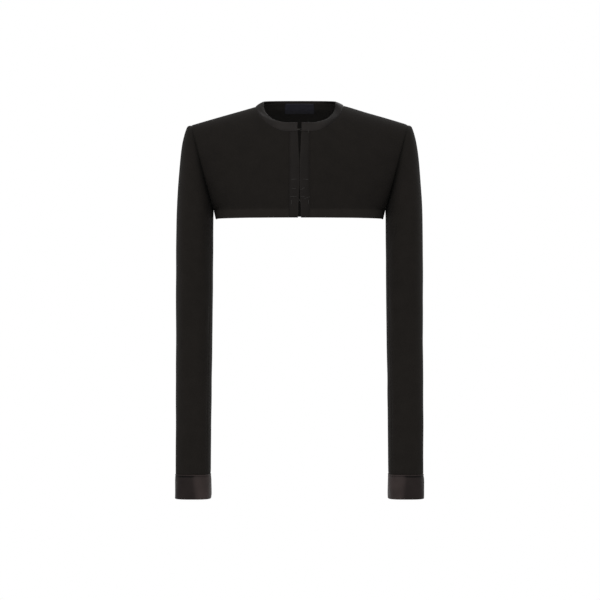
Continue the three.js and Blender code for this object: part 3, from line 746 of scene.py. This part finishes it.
def top_normal(column):
    if column.neck is None or column.across >= NECK_SHARE:
        return SHOULDER_NORMAL
    return neck_seam_normal(column)


def panel_edge_normals(side):
    found = armhole_normals(armhole_turns(PANEL_RISES, side))
    found[np.array(PANEL_RISES) < SIDE_SEAM_SHARE] = (1, 0, 0)
    return found


def neck_columns(start, end, steps, side, **fine):
    return [neck_column(length, side) for length in ease(start, end, steps, **fine)]


def shoulder_columns(side, steps):
    return [Column(across, side) for across in ease(NECK_SHARE, 1, steps, False, True)]


def column_grid(columns, rises):
    return np.stack([column.points(rises) for column in columns], axis=1)


def hem_wear(grid):
    """1 on the turned-up hem, falling away above it."""
    above = edge_distances(grid)["bottom"] - HEM_TURN_UP
    return 1 - smooth(above / HEM_LINE_SOFTNESS + 0.5)


def opened(points, seam_points, share):
    """Moves points near the centre front to the edge of the opening."""
    moved = points.copy()
    for place, point in enumerate(moved):
        edge = FRONT_OPENING.at("height", point[2])["half"]
        point[0] = edge + (seam_points[place][0] - edge) * share
    return moved


def new_material(name, colour, roughness, specular):
    """A material with its node tree, its shader and the piece's own coordinates."""
    material = bpy.data.materials.new(name)
    material.use_nodes = True
    tree = material.node_tree
    shader = tree.nodes["Principled BSDF"]
    shader.inputs["Base Color"].default_value = (*colour, 1)
    shader.inputs["Roughness"].default_value = roughness
    shader.inputs["Specular IOR Level"].default_value = specular
    return material, tree, shader, scaled_coordinates(tree, (1, 1, 1))


def add_node(tree, kind, **values):
    node = tree.nodes.new(kind)
    for key, value in values.items():
        if key in node.inputs:
            node.inputs[key].default_value = value
        else:
            setattr(node, key, value)
    return node


def scaled_coordinates(tree, scale):
    coordinates = add_node(tree, "ShaderNodeTexCoord")
    mapping = add_node(tree, "ShaderNodeMapping", Scale=scale)
    tree.links.new(coordinates.outputs["Object"], mapping.inputs["Vector"])
    return mapping.outputs["Vector"]


def noise(tree, vector, scale, detail=2.0, roughness=0.5):
    texture = add_node(tree, "ShaderNodeTexNoise", Scale=scale, Detail=detail, Roughness=roughness)
    tree.links.new(vector, texture.inputs["Vector"])
    return texture.outputs["Fac"]


def maths(tree, operation, first, second):
    node = add_node(tree, "ShaderNodeMath", operation=operation)
    for place, value in enumerate((first, second)):
        if isinstance(value, (int, float)):
            node.inputs[place].default_value = value
        else:
            tree.links.new(value, node.inputs[place])
    return node.outputs[0]


def blended(tree, first, second, share):
    """A share of the first and the rest of the second."""
    return maths(tree, "ADD", maths(tree, "MULTIPLY", first, share), maths(tree, "MULTIPLY", second, 1 - share))


def stretch(tree, value, to_low, to_high, low=0.3, high=0.7):
    """A value mapped to a new range, from the range that a noise mostly has."""
    node = add_node(tree, "ShaderNodeMapRange")
    for name, number in (("From Min", low), ("From Max", high), ("To Min", to_low), ("To Max", to_high)):
        node.inputs[name].default_value = number
    tree.links.new(value, node.inputs["Value"])
    return node.outputs["Result"]


def tint(tree, shader, colour, amount):
    """Base colour times a changing amount."""
    node = add_node(tree, "ShaderNodeVectorMath", operation="SCALE")
    node.inputs[0].default_value = colour
    tree.links.new(amount, node.inputs["Scale"])
    tree.links.new(node.outputs["Vector"], shader.inputs["Base Color"])


def bump(tree, shader, height, distance, strength):
    node = add_node(tree, "ShaderNodeBump", Distance=distance, Strength=strength)
    tree.links.new(height, node.inputs["Height"])
    tree.links.new(node.outputs["Normal"], shader.inputs["Normal"])


def wear_and_painted_light_factor(tree, lightest, darkest):
    """A factor on the colour from the piece's wear and painted light: up to 1 for pressed and rubbed cloth and
    for painted highlights, 0 plain, down to -1 for painted shade, as deep in a fold.
    """
    wear = add_node(tree, "ShaderNodeAttribute", attribute_name="wear").outputs["Fac"]
    lighter = stretch(tree, wear, 1, lightest, 0, 1)
    darker = stretch(tree, wear, darkest, 1, -1, 0)
    return maths(tree, "MULTIPLY", lighter, darker)


def crepe_material(sizes):
    """Matt wool crepe: a pebbled weave of hard twisted yarns, faintly mottled, lighter on pressed edges and down
    the sleeves, and darker with painted shade beside the armholes.
    """
    colour = tuple(sizes.crepe_colour)
    yarns = 1000 / (sizes.crepe_grain * 0.7)
    material, tree, shader, plain = new_material("crepe_look", colour, 0.9, 0.05)
    pebble = noise(tree, plain, 1000 / sizes.crepe_grain, 3.0, 0.62)
    warp = noise(tree, scaled_coordinates(tree, (1, 1, 0.25)), yarns, 1.0)
    weft = noise(tree, scaled_coordinates(tree, (0.25, 0.25, 1)), yarns, 1.0)
    height = blended(tree, pebble, blended(tree, warp, weft, 0.5), 0.6)
    mottle = stretch(tree, noise(tree, plain, 55, 3.0), 0.93, 1.07)
    grain = stretch(tree, height, 0.78, 1.22, 0.35, 0.65)
    wear_and_painted_light_amount = wear_and_painted_light_factor(tree, 1.45, 0.12)
    tint(tree, shader, colour, maths(tree, "MULTIPLY", maths(tree, "MULTIPLY", mottle, grain), wear_and_painted_light_amount))
    tree.links.new(stretch(tree, pebble, 0.84, 0.96), shader.inputs["Roughness"])
    shader.inputs["Sheen Weight"].default_value = 0.007
    shader.inputs["Sheen Roughness"].default_value = 0.5
    bump(tree, shader, height, 0.00012, 0.7)
    return material


def satin_material(sizes, name, colour, specular):
    """Satin: long floats that catch the light along the piece, with a faint cross grain and soft clouding, and
    the painted sheen and painted shade that a piece carries.
    """
    material, tree, shader, plain = new_material(name, colour, 0.4, specular)
    floats = noise(tree, scaled_coordinates(tree, (0.12, 0.12, 1)), 1000 / sizes.satin_grain, 1.0)
    cross = noise(tree, scaled_coordinates(tree, (1, 1, 0.12)), 1000 / sizes.satin_grain, 1.0)
    cloud = noise(tree, plain, 38)
    wear_and_painted_light_amount = wear_and_painted_light_factor(tree, 1.4, 0.1)
    tint(tree, shader, colour, maths(tree, "MULTIPLY", stretch(tree, cloud, 0.85, 1.15), wear_and_painted_light_amount))
    tree.links.new(stretch(tree, cloud, 0.5, 0.62), shader.inputs["Roughness"])
    bump(tree, shader, blended(tree, floats, cross, 0.7), 0.00005, 0.5)
    return material


def plain_material(name, colour, roughness, specular, grain, depth):
    """Plain woven cloth or thread."""
    material, tree, shader, plain = new_material(name, colour, roughness, specular)
    weave = noise(tree, plain, 1000 / grain)
    tint(tree, shader, colour, stretch(tree, weave, 0.82, 1.18))
    bump(tree, shader, weave, depth, 0.6)
    return material


def wire_material(sizes):
    """Dark nickel-plated wire, drawn along its length and a little dulled."""
    colour = tuple(sizes.wire_colour)
    material, tree, shader, plain = new_material("wire_look", colour, 0.32, 0.5)
    dull = noise(tree, plain, 900, 3.0)
    tint(tree, shader, colour, stretch(tree, dull, 0.75, 1.1))
    tree.links.new(stretch(tree, dull, 0.24, 0.45), shader.inputs["Roughness"])
    shader.inputs["Metallic"].default_value = 1
    bump(tree, shader, dull, 0.00002, 0.5)
    return material


def look(name):
    """A finish, made the first time it is asked for."""
    if name in bpy.data.materials:
        return bpy.data.materials[name]
    sizes = sizes_now()
    if name == "crepe_look":
        return crepe_material(sizes)
    if name == "wire_look":
        return wire_material(sizes)
    satins = {
        "satin_look": (sizes.satin_colour, 0.028),
        # The bands' satin is the binding's satin darkened with painted shade, as the bands face forward and catch
        # less light than the binding.
        "band_shaded_look": (sizes.band_shaded_colour, 0.032),
        "cuff_look": (sizes.cuff_colour, 0.05),
    }
    if name in satins:
        colour, specular = satins[name]
        return satin_material(sizes, name, tuple(colour), specular)
    plains = {
        "lining_look": (sizes.lining_colour, 0.7, 0.1, 0.5, 0.00005),
        "label_look": (sizes.label_colour, 0.6, 0.15, 0.35, 0.00006),
        "thread_look": (sizes.thread_colour, 0.55, 0.2, 0.2, 0.00004),
    }
    colour, *values = plains[name]
    return plain_material(name, tuple(colour), *values)


def colour_setting(name, description, default):
    return FloatVectorProperty(
        name=name, description=description, subtype="COLOR", size=3, min=0, max=1, default=default
    )


def length_setting(name, description, default):
    return FloatProperty(
        name=name, description=description, default=default, min=0.0001, max=0.02, precision=5, unit="LENGTH"
    )


class JacketSizes(bpy.types.PropertyGroup):
    crepe_colour: colour_setting("Crepe colour", "Colour of the body and sleeves", (0.0071, 0.0061, 0.0053))
    satin_colour: colour_setting("Satin colour", "Colour of the neck binding", (0.0128, 0.0113, 0.0106))
    # The bands' colour is the binding's satin with painted shade.
    band_shaded_colour: colour_setting("Band colour", "Colour of the satin front bands", (0.0076, 0.0066, 0.0060))
    cuff_colour: colour_setting("Cuff colour", "Colour of the satin cuffs", (0.0180, 0.0136, 0.0129))
    lining_colour: colour_setting("Lining colour", "Colour of the inside", (0.0050, 0.0043, 0.0036))
    label_colour: colour_setting("Label colour", "Colour of the plain label", (0.0066, 0.0066, 0.0110))
    thread_colour: colour_setting("Thread colour", "Colour of the tacks", (0.021, 0.0195, 0.018))
    wire_colour: colour_setting("Wire colour", "Colour of the hooks and eyes", (0.026, 0.024, 0.022))
    crepe_grain: FloatProperty(
        name="Crepe grain", description="Size of the weave, in millimetres", default=0.8, min=0.2, max=3
    )
    satin_grain: FloatProperty(
        name="Satin grain", description="Width of a satin float, in millimetres", default=0.3, min=0.1, max=2
    )
    fold_height: FloatProperty(
        name="Fold height", description="Scale of the folds", default=1.0, min=0, max=3, subtype="FACTOR"
    )
    seam_ditch: FloatProperty(
        name="Seam ditch", description="Depth of a seam in the cloth, in millimetres", default=0.6, min=0, max=2
    )
    stitch_length: length_setting("Stitch length", "Length of a stitch", 0.0022)
    stitch_spacing: length_setting("Stitch spacing", "Distance from one stitch to the next", 0.003)
    thread_width: length_setting("Thread width", "Width of the sewing thread", 0.00045)
    thread_seed: IntProperty(
        name="Thread seed", description="Seed of the stitches' slight unevenness", default=7, min=0
    )
    key_power: FloatProperty(
        name="Key light", description="Power of the light above the front", default=55, min=0, unit="POWER"
    )
    fill_power: FloatProperty(
        name="Fill light", description="Power of each side light", default=8, min=0, unit="POWER"
    )


def sizes_now():
    return bpy.context.scene.jacket_sizes


class JACKET_OT_body(bpy.types.Operator):
    """Makes the two fronts and the back in wool crepe"""

    bl_idname = "jacket.body"
    bl_label = "Fronts and back"

    def execute(self, context):
        columns = joined(
            neck_columns(BAND_LENGTH, NECK_LENGTHS[-1], 30, -1, fine_end=False),
            shoulder_columns(-1, 44),
        )
        grid = column_grid(columns, PANEL_RISES)
        normals = grid_normals(grid)
        normals[-1] = [top_normal(column) for column in columns]
        normals[:, -1] = panel_edge_normals(-1)
        for _, suffix, own, own_normals in both_sides(grid, normals):
            self.make_panel("front_" + suffix, own, own_normals, FRONT_FOLDS, ripple(own, 0.07))
        columns = joined(
            neck_columns(0, NECK_LENGTHS[1], 34, 1, fine_start=False, fine_end=False),
            shoulder_columns(1, 44),
        )[::-1]
        grid = whole(column_grid(columns, PANEL_RISES))
        normals = grid_normals(grid)
        normals[-1] = whole(np.array([top_normal(column) for column in columns]))
        normals[:, 0] = panel_edge_normals(1)
        normals[:, -1] = normals[:, 0] * MIRROR
        self.make_panel("back", grid, normals, BACK_FOLDS, ripple(grid + 40, 0.08))
        return {"FINISHED"}

    def make_panel(self, node, grid, normals, folds, uneven):
        wear = hem_wear(grid)
        drape = fold_rise(grid[..., 0], grid[..., 2], folds) * sizes_now().fold_height
        rise = calm_edges(grid, drape + uneven + HEM_THICKENING * wear, SEWN_EDGES)
        cloth_piece(node, grid, normals, CLOTH, rise, CREPE, free=("bottom",), seams=SEWN_EDGES, wear=wear)


class JACKET_OT_trim(bpy.types.Operator):
    """Makes the satin front bands and neck binding"""

    bl_idname = "jacket.trim"
    bl_label = "Bands and binding"

    def execute(self, context):
        self.make_bands()
        self.make_binding()
        return {"FINISHED"}

    def make_bands(self):
        columns = neck_columns(0, BAND_LENGTH, 14, -1)
        seam = columns[-1].points(PANEL_RISES)
        shares = [column.neck["length"] / BAND_LENGTH for column in columns]
        lines = [opened(column.points(PANEL_RISES), seam, share) for column, share in zip(columns, shares)]
        grid = np.stack(lines, axis=1)
        normals = grid_normals(grid)
        normals[-1] = [top_normal(column) for column in columns]
        for side, suffix, own, own_normals in both_sides(grid, normals):
            folded, sewn = ("start", "end") if side > 0 else ("end", "start")
            distances = edge_distances(own)
            long_wave = 0.22 * np.sin(own[..., 2] / 11.0 + side)
            short_wave = 0.16 * np.sin(own[..., 2] / 5.3 + own[..., 0] / 7.0)
            rise = satin_rise(distances, (folded, sewn), SATIN_RISE, 0.35, long_wave + short_wave)
            pressed = 1 - smooth(distances[folded] / 2.2)
            cloth_piece(
                "front_band_" + suffix, own, own_normals, CLOTH, rise, BAND_SATIN,
                free=("bottom", folded), seams=(sewn, "top"), wear=pressed,
            )

    def make_binding(self):
        rises = ease(0, 1, 14)
        columns = joined(
            neck_columns(0, BAND_LENGTH, 12, -1, fine_end=False),
            neck_columns(BAND_LENGTH, NECK_LENGTHS[-1], 44, -1, fine_start=False, fine_end=False),
            neck_columns(0, NECK_LENGTHS[1], 40, 1, fine_start=False, fine_end=False)[::-1],
        )
        seam = neck_column(BAND_LENGTH, -1).neck_points(rises)
        lines = []
        for column in columns:
            line = column.neck_points(rises)
            if column.side < 0 and column.neck["length"] < BAND_LENGTH:
                line = opened(line, seam, column.neck["length"] / BAND_LENGTH)
            lines.append(line)
        grid = whole(np.stack(lines, axis=1))
        normals = grid_normals(grid)
        normals[0] = whole(np.array([top_normal(column) for column in columns]))
        distances = edge_distances(grid)
        long_wave = 0.16 * np.sin(distances["start"] / 8.1 + 0.7)
        short_wave = 0.12 * np.sin(distances["start"] / 4.7 + distances["bottom"] / 5)
        rise = satin_rise(distances, ("bottom", "top"), 0.6 * SATIN_RISE, 0.3, long_wave + short_wave)
        x = grid[..., 0]
        # Painted shade: darkens the binding's colour at the sides of the neck, more on the wearer's left.
        shade = np.where(x > 0, BINDING_SHADE_LEFT, BINDING_SHADE_RIGHT)
        shade = shade * smooth((np.abs(x) - BINDING_SHADE_START) / BINDING_SHADE_REACH)
        cloth_piece(
            "neck_binding", grid, normals, CLOTH, rise, BINDING_SATIN,
            free=("start", "end", "top"), seams=("bottom",), ditch_share=0.5, wear=-shade,
        )


class JACKET_OT_inside(bpy.types.Operator):
    """Makes the facing inside the back neck and the plain label on it"""

    bl_idname = "jacket.inside"
    bl_label = "Facing and label"

    def execute(self, context):
        depth = CLOTH + LAYER_GAP
        columns = neck_columns(0, NECK_LENGTHS[1], 34, 1, fine_start=False)
        grid, normals = self.inside_grid(columns, 0.775, 0.75)
        cloth_piece(
            "back_neck_facing", grid, normals, FACING_CLOTH, -depth - ripple(grid, 0.05), LINING,
            inner_rise=-depth, free=("bottom",),
        )
        depth += FACING_CLOTH + LAYER_GAP
        columns = neck_columns(0, LABEL_HALF_WIDTH, 14, 1, fine_start=False)
        grid, normals = self.inside_grid(columns, 0.965, 0.74, LABEL_SAG)
        distances = edge_distances(grid)
        rise = -depth - 0.25 * smooth(np.minimum(distances["start"], distances["end"]) / 6)
        cloth_piece("label", grid, normals, LABEL_CLOTH, rise, RIBBON, inner_rise=rise, free=ALL_EDGES)
        return {"FINISHED"}

    def inside_grid(self, columns, panel_from, binding_to, sag=0):
        """Points and normals inside the top of the back and the binding, from left to right."""
        columns = columns[::-1]
        widest = columns[0].neck["length"]
        lower = []
        for column in columns:
            start = panel_from - sag * (1 - (column.neck["length"] / widest) ** 2)
            lower.append(column.points(ease(start, 1, 18, True, False)))
        upper = [column.neck_points(np.linspace(0, binding_to, 9))[1:] for column in columns]
        grid = whole(np.concatenate((np.stack(lower, axis=1), np.stack(upper, axis=1))))
        return grid, grid_normals(grid)


class JACKET_OT_sleeves(bpy.types.Operator):
    """Makes the upper and under sleeves in wool crepe"""

    bl_idname = "jacket.sleeves"
    bl_label = "Sleeves"

    def execute(self, context):
        self.make_pair("upper_sleeve", 104, "front", "back", 360)
        self.make_pair("under_sleeve", 40, "back", "front", 0)
        return {"FINISHED"}

    def make_pair(self, name, steps, first_seam, last_seam, turn_back):
        alongs = joined(ease(1, FINE_SLEEVE_END, 170, True, False), ease(FINE_SLEEVE_END, 0, 90, False, True))
        rows = []
        for along in alongs:
            seams = SLEEVE_SEAMS.at("along", along)
            rows.append(ease(seams[first_seam] - turn_back, seams[last_seam], steps))
        turns = np.stack(rows)
        grid = np.stack([sleeve_ring(along, row) for along, row in zip(alongs, turns)])
        normals = grid_normals(grid)
        for edge in (0, -1):
            normals[:, edge] = [self.seam_normal(along, row[edge]) for along, row in zip(alongs, turns)]
        normals[-1] = armhole_normals(turns[-1])
        for side, suffix, own, own_normals in both_sides(grid, normals):
            drape = self.sleeve_folds(own, turns[:, ::side], side) * sizes_now().fold_height
            rise = calm_edges(own, drape + ripple(own + 90 * side, 0.09), ALL_EDGES)
            cloth_piece(
                f"{name}_{suffix}", own, own_normals, SLEEVE_CLOTH, rise, CREPE,
                seams=ALL_EDGES, wear=self.sleeve_wear(own),
            )

    def sleeve_wear(self, grid):
        """Painted shade beside the armhole, wider towards the underarm, and a little lighter than the body below.
        """
        distance = edge_distances(grid)["top"]
        drop = smooth((SHADE_TOP - grid[..., 2]) / SHADE_DROP)
        width = SHADE_WIDTH + SHADE_WIDENING * drop
        shade = np.exp(-((distance / width) ** 2))
        light = SLEEVE_LIGHT * smooth((distance - width) / SLEEVE_LIGHT_REACH)
        return light * (1 - shade) - (SHADE_DEPTH + SHADE_DEEPENING * drop) * shade

    def seam_normal(self, along, turn):
        step = 0.004
        round_way = sleeve_ring(along, turn + 2.0) - sleeve_ring(along, turn - 2.0)
        up = sleeve_ring(max(along - step, 0), turn) - sleeve_ring(min(along + step, 1), turn)
        return unit(np.cross(round_way, up))

    def sleeve_folds(self, grid, turns, side):
        around = np.radians(np.mod(turns, 360)) * SLEEVE_RADIUS
        girth = 2 * math.pi * SLEEVE_RADIUS
        scale = math.radians(SLEEVE_RADIUS)
        folds = np.array(SLEEVE_FOLDS[side]) * np.array((scale, 1, scale, 1, 1, 1))
        return sum(fold_rise(around + shift, grid[..., 2], folds) for shift in (-girth, 0, girth))


def cuff_grid(turns, drops):
    """Rings of the cuff's outer face, by how far down the cuff each lies."""
    inner_x, _, outer_x, top_z = SLEEVE.rows[-1][:4]
    middle_x = (inner_x + outer_x) / 2
    ring = sleeve_ring(1, turns)
    lines = []
    for drop in drops:
        line = ring.copy()
        widening = 1 + CUFF_SPREAD * drop / (middle_x - inner_x)
        line[:, 0] = middle_x + (line[:, 0] - middle_x) * widening
        line[:, 1] += CUFF_FORWARD * drop
        line[:, 2] = top_z + (CUFF_BOTTOM - top_z) * drop
        lines.append(line)
    return np.stack(lines)


class JACKET_OT_cuffs(bpy.types.Operator):
    """Makes the satin cuffs"""

    bl_idname = "jacket.cuffs"
    bl_label = "Cuffs"

    def execute(self, context):
        turns = np.linspace(0, 360, 161)
        grid = cuff_grid(turns, ease(1, 0, 30))
        normals = grid_normals(grid)
        normals[:, 0] = normals[:, -1] = unit(normals[:, 0] + normals[:, -1])
        for side, suffix, own, own_normals in both_sides(grid, normals):
            own_turns = np.radians(turns[::side])
            distances = edge_distances(own)
            below_line = distances["top"] - CUFF_LINE
            sunk = CUFF_LINE_DEPTH * np.exp(-((below_line / CUFF_LINE_WIDTH) ** 2))
            fullness = smooth(np.minimum(below_line, distances["bottom"]) / CUFF_EASE)
            long_wave = 0.28 * np.sin(3 * own_turns + side)
            short_wave = 0.2 * np.sin(7 * own_turns + own[..., 2] / 9)
            rise = SATIN_RISE + (0.3 + long_wave + short_wave) * fullness - sunk
            cloth_piece(
                "cuff_" + suffix, own, own_normals, SLEEVE_CLOTH, rise, CUFF_SATIN,
                free=("bottom", "top"), wrapped=True, wear=self.cuff_wear(own, distances),
            )
        return {"FINISHED"}

    def cuff_wear(self, grid, distances):
        """Painted sheen on the half towards the body, painted shade on the other half, in the stitched line and
        at the lower edge, and a painted highlight along the top edge.
        """
        outward = np.abs(grid[..., 0]) - CUFF_TURN_X - CUFF_TURN_LEAN * (grid[..., 2] - CUFF_TURN_Z)
        painted_sheen = 1 - CUFF_CONTRAST * smooth(outward / CUFF_TURN_SOFTNESS + 1)
        from_line = (distances["top"] - CUFF_LINE) / CUFF_LINE_SHADE_WIDTH
        painted_sheen = painted_sheen - CUFF_LINE_SHADE * np.exp(-(from_line**2))
        top_edge = 1 - smooth(distances["top"] / CUFF_TOP_REACH)
        low_edge = 1 - smooth(distances["bottom"] / CUFF_EDGE_REACH)
        return painted_sheen + (CUFF_TOP_LIGHT - painted_sheen) * top_edge - CUFF_EDGE_SHADE * low_edge


def stitch_tree():
    """Stitches laid end to end along a line, with named inputs."""
    tree = bpy.data.node_groups.new("stitches", "GeometryNodeTree")
    for name, kind in (
        ("Line", "Geometry"), ("Spacing", "Float"), ("Length", "Float"), ("Width", "Float"), ("Seed", "Int"),
        ("Material", "Material"),
    ):
        tree.interface.new_socket(name, in_out="INPUT", socket_type="NodeSocket" + kind)
    tree.interface.new_socket("Stitches", in_out="OUTPUT", socket_type="NodeSocketGeometry")
    given = add_node(tree, "NodeGroupInput")
    found = add_node(tree, "NodeGroupOutput")
    curve = add_node(tree, "GeometryNodeMeshToCurve")
    points = add_node(tree, "GeometryNodeCurveToPoints", mode="LENGTH")
    ball = add_node(tree, "GeometryNodeMeshUVSphere", Segments=6, Rings=5, Radius=0.5)
    size = add_node(tree, "ShaderNodeCombineXYZ")
    shaped = add_node(tree, "GeometryNodeTransform")
    jitter = add_node(tree, "FunctionNodeRandomValue", data_type="FLOAT")
    jitter.inputs[2].default_value = 0.88
    jitter.inputs[3].default_value = 1.08
    place = add_node(tree, "GeometryNodeInstanceOnPoints")
    real = add_node(tree, "GeometryNodeRealizeInstances")
    rounded = add_node(tree, "GeometryNodeSetShadeSmooth")
    coat = add_node(tree, "GeometryNodeSetMaterial")
    for source, outlet, target, inlet in (
        (given, "Line", curve, "Mesh"),
        (curve, "Curve", points, "Curve"),
        (given, "Spacing", points, "Length"),
        (given, "Width", size, "X"),
        (given, "Width", size, "Y"),
        (given, "Length", size, "Z"),
        (ball, "Mesh", shaped, "Geometry"),
        (size, "Vector", shaped, "Scale"),
        (points, "Points", place, "Points"),
        (shaped, "Geometry", place, "Instance"),
        (points, "Rotation", place, "Rotation"),
        (given, "Seed", jitter, "Seed"),
        (jitter, 1, place, "Scale"),
        (place, "Instances", real, "Geometry"),
        (real, "Geometry", rounded, "Geometry"),
        (rounded, "Geometry", coat, "Geometry"),
        (given, "Material", coat, "Material"),
        (coat, "Geometry", found, "Stitches"),
    ):
        tree.links.new(source.outputs[outlet], target.inputs[inlet])
    return tree


def make_stitches(name, lines, spacing, length, width, material):
    """Stitches along polylines given in millimetres, as one plain mesh."""
    vertices, edges = [], []
    for line in lines:
        first = len(vertices)
        vertices += (np.asarray(line) * MM).tolist()
        edges += [(first + place, first + place + 1) for place in range(len(line) - 1)]
    path = bpy.data.meshes.new(name + "_path")
    path.from_pydata(vertices, edges, [])
    piece = linked(name, path)
    tree = bpy.data.node_groups.get("stitches") or stitch_tree()
    modifier = piece.modifiers.new("stitches", "NODES")
    modifier.node_group = tree
    values = {"Spacing": spacing, "Length": length, "Width": width, "Material": material}
    values["Seed"] = sizes_now().thread_seed
    for item in tree.interface.items_tree:
        if item.item_type == "SOCKET" and item.in_out == "INPUT" and item.name in values:
            modifier[item.identifier] = values[item.name]
    bpy.context.view_layer.update()
    graph = bpy.context.evaluated_depsgraph_get()
    mesh = bpy.data.meshes.new_from_object(piece.evaluated_get(graph))
    if len(mesh.polygons) == 0:
        raise RuntimeError(name + " came out empty")
    piece.modifiers.clear()
    piece.data = mesh
    mesh.name = name
    bpy.data.meshes.remove(path)
    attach(piece, "root")


def in_front_of_band(x, z):
    """A point just in front of a band or the binding, near the centre front."""
    column = neck_column(abs(x) * BAND_LENGTH / BAND_WIDTH, -1)
    top = column.points(1.0)
    if z > top[2]:
        rise = (z - top[2]) / (column.neck["open_z"] - top[2])
        point = column.neck_points(rise)
    else:
        point = column.points(reach_of(column.curve, -1, z) / column.reach)
    return np.array((x, point[1] - TACK_LIFT, z))


class JACKET_OT_sewing(bpy.types.Operator):
    """Lays the stitching of the cuffs and the tacks that hold the hooks"""

    bl_idname = "jacket.sewing"
    bl_label = "Stitching"

    def execute(self, context):
        sizes = sizes_now()
        spacing, length, width = sizes.stitch_spacing, sizes.stitch_length, sizes.thread_width
        ring = cuff_grid(np.linspace(0, 360, 241), (CUFF_STITCH_SHARE,))[0]
        outward = unit(np.stack((np.gradient(ring[:, 1]), -np.gradient(ring[:, 0]), 0 * ring[:, 0]), axis=1))
        ring = ring + outward * STITCH_LIFT
        make_stitches("cuff_stitches", (ring, ring * MIRROR), spacing, length, width, look("satin_look"))
        tacks = []
        for from_x, from_z, to_x, to_z in BAND_TACKS:
            shares = np.linspace(0, 1, 9)
            ends = zip(from_x + (to_x - from_x) * shares, from_z + (to_z - from_z) * shares)
            tacks.append([in_front_of_band(x, z) for x, z in ends])
        make_stitches("band_tacks", tacks, spacing * 0.42, length * 0.8, width * 1.7, look("thread_look"))
        return {"FINISHED"}


class JACKET_OT_fasteners(bpy.types.Operator):
    """Finishes the hooks and eyes at the centre front"""

    bl_idname = "jacket.fasteners"
    bl_label = "Hooks and eyes"

    def execute(self, context):
        for name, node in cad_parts.items():
            if name.startswith(("hook_", "eye_")):
                node.data.materials.clear()
                node.data.materials.append(look("wire_look"))
        return {"FINISHED"}


class JACKET_OT_stage(bpy.types.Operator):
    """Sets the floor, light, backdrop and camera"""

    bl_idname = "jacket.stage"
    bl_label = "Stage"

    def execute(self, context):
        scene = context.scene
        sizes = scene.jacket_sizes
        self.make_floor()
        scene.world = bpy.data.worlds.new("white")
        scene.world.use_nodes = True
        background = scene.world.node_tree.nodes["Background"]
        background.inputs["Color"].default_value = (1, 1, 1, 1)
        background.inputs["Strength"].default_value = 1
        self.add_light("key", (-0.7, -2.2, 2.2), (0, 0, -0.25), 2.0, sizes.key_power)
        self.add_light("key_back", (0.8, 2.4, 2.0), (0, 0, -0.25), 2.0, sizes.key_power * 0.8)
        self.add_light("fill_left", (-2.6, -1.6, 0.4), (0, 0, -0.35), 1.6, sizes.fill_power)
        self.add_light("fill_right", (2.6, -1.4, 0.2), (0, 0, -0.35), 1.6, sizes.fill_power)
        view = bpy.data.cameras.new("camera")
        view.lens = CAMERA_LENS
        view.sensor_width = 36
        view.clip_end = 100
        scene.camera = linked("camera", view)
        scene.camera.location = CAMERA_PLACE
        scene.camera.rotation_euler = (math.radians(90), 0, 0)
        scene.view_settings.view_transform = "Standard"
        return {"FINISHED"}

    def make_floor(self):
        turns = np.linspace(0, 2 * math.pi, 96, endpoint=False)
        rim = [(FLOOR_RADIUS * math.cos(turn), FLOOR_RADIUS * math.sin(turn), FLOOR_HEIGHT) for turn in turns]
        mesh = bpy.data.meshes.new("floor")
        mesh.from_pydata(rim, [], [tuple(range(len(rim)))])
        floor = linked("floor", mesh)
        material, tree, shader, plain = new_material("floor_look", FLOOR_COLOUR, 0.8, 0.2)
        tint(tree, shader, FLOOR_COLOUR, stretch(tree, noise(tree, plain, 3, 1.0), 0.99, 1.01, 0, 1))
        mesh.materials.append(material)

    def add_light(self, name, place, target, size, power):
        data = bpy.data.lights.new(name, "AREA")
        data.energy = power
        data.size = size
        light = linked(name, data)
        light.location = place
        light.rotation_euler = (Vector(target) - Vector(place)).to_track_quat("-Z", "Y").to_euler()


OPERATORS = (
    JACKET_OT_body,
    JACKET_OT_trim,
    JACKET_OT_inside,
    JACKET_OT_sleeves,
    JACKET_OT_cuffs,
    JACKET_OT_sewing,
    JACKET_OT_fasteners,
    JACKET_OT_stage,
)


class JACKET_PT_panel(bpy.types.Panel):
    bl_idname = "JACKET_PT_panel"
    bl_label = "Bolero jacket"
    bl_space_type = "VIEW_3D"
    bl_region_type = "UI"
    bl_category = "Jacket"

    def draw(self, context):
        for name in JacketSizes.__annotations__:
            self.layout.prop(context.scene.jacket_sizes, name)
        for operator in OPERATORS:
            self.layout.operator(operator.bl_idname)


CLASSES = (JacketSizes, *OPERATORS, JACKET_PT_panel)


def register():
    for item in CLASSES:
        bpy.utils.register_class(item)
    bpy.types.Scene.jacket_sizes = PointerProperty(type=JacketSizes)


def unregister():
    del bpy.types.Scene.jacket_sizes
    for item in reversed(CLASSES):
        bpy.utils.unregister_class(item)


def main():
    register()
    bpy.ops.jacket.body()
    bpy.ops.jacket.trim()
    bpy.ops.jacket.inside()
    bpy.ops.jacket.sleeves()
    bpy.ops.jacket.cuffs()
    bpy.ops.jacket.sewing()
    bpy.ops.jacket.fasteners()
    bpy.ops.jacket.stage()


if __name__ == "__main__":
    main()
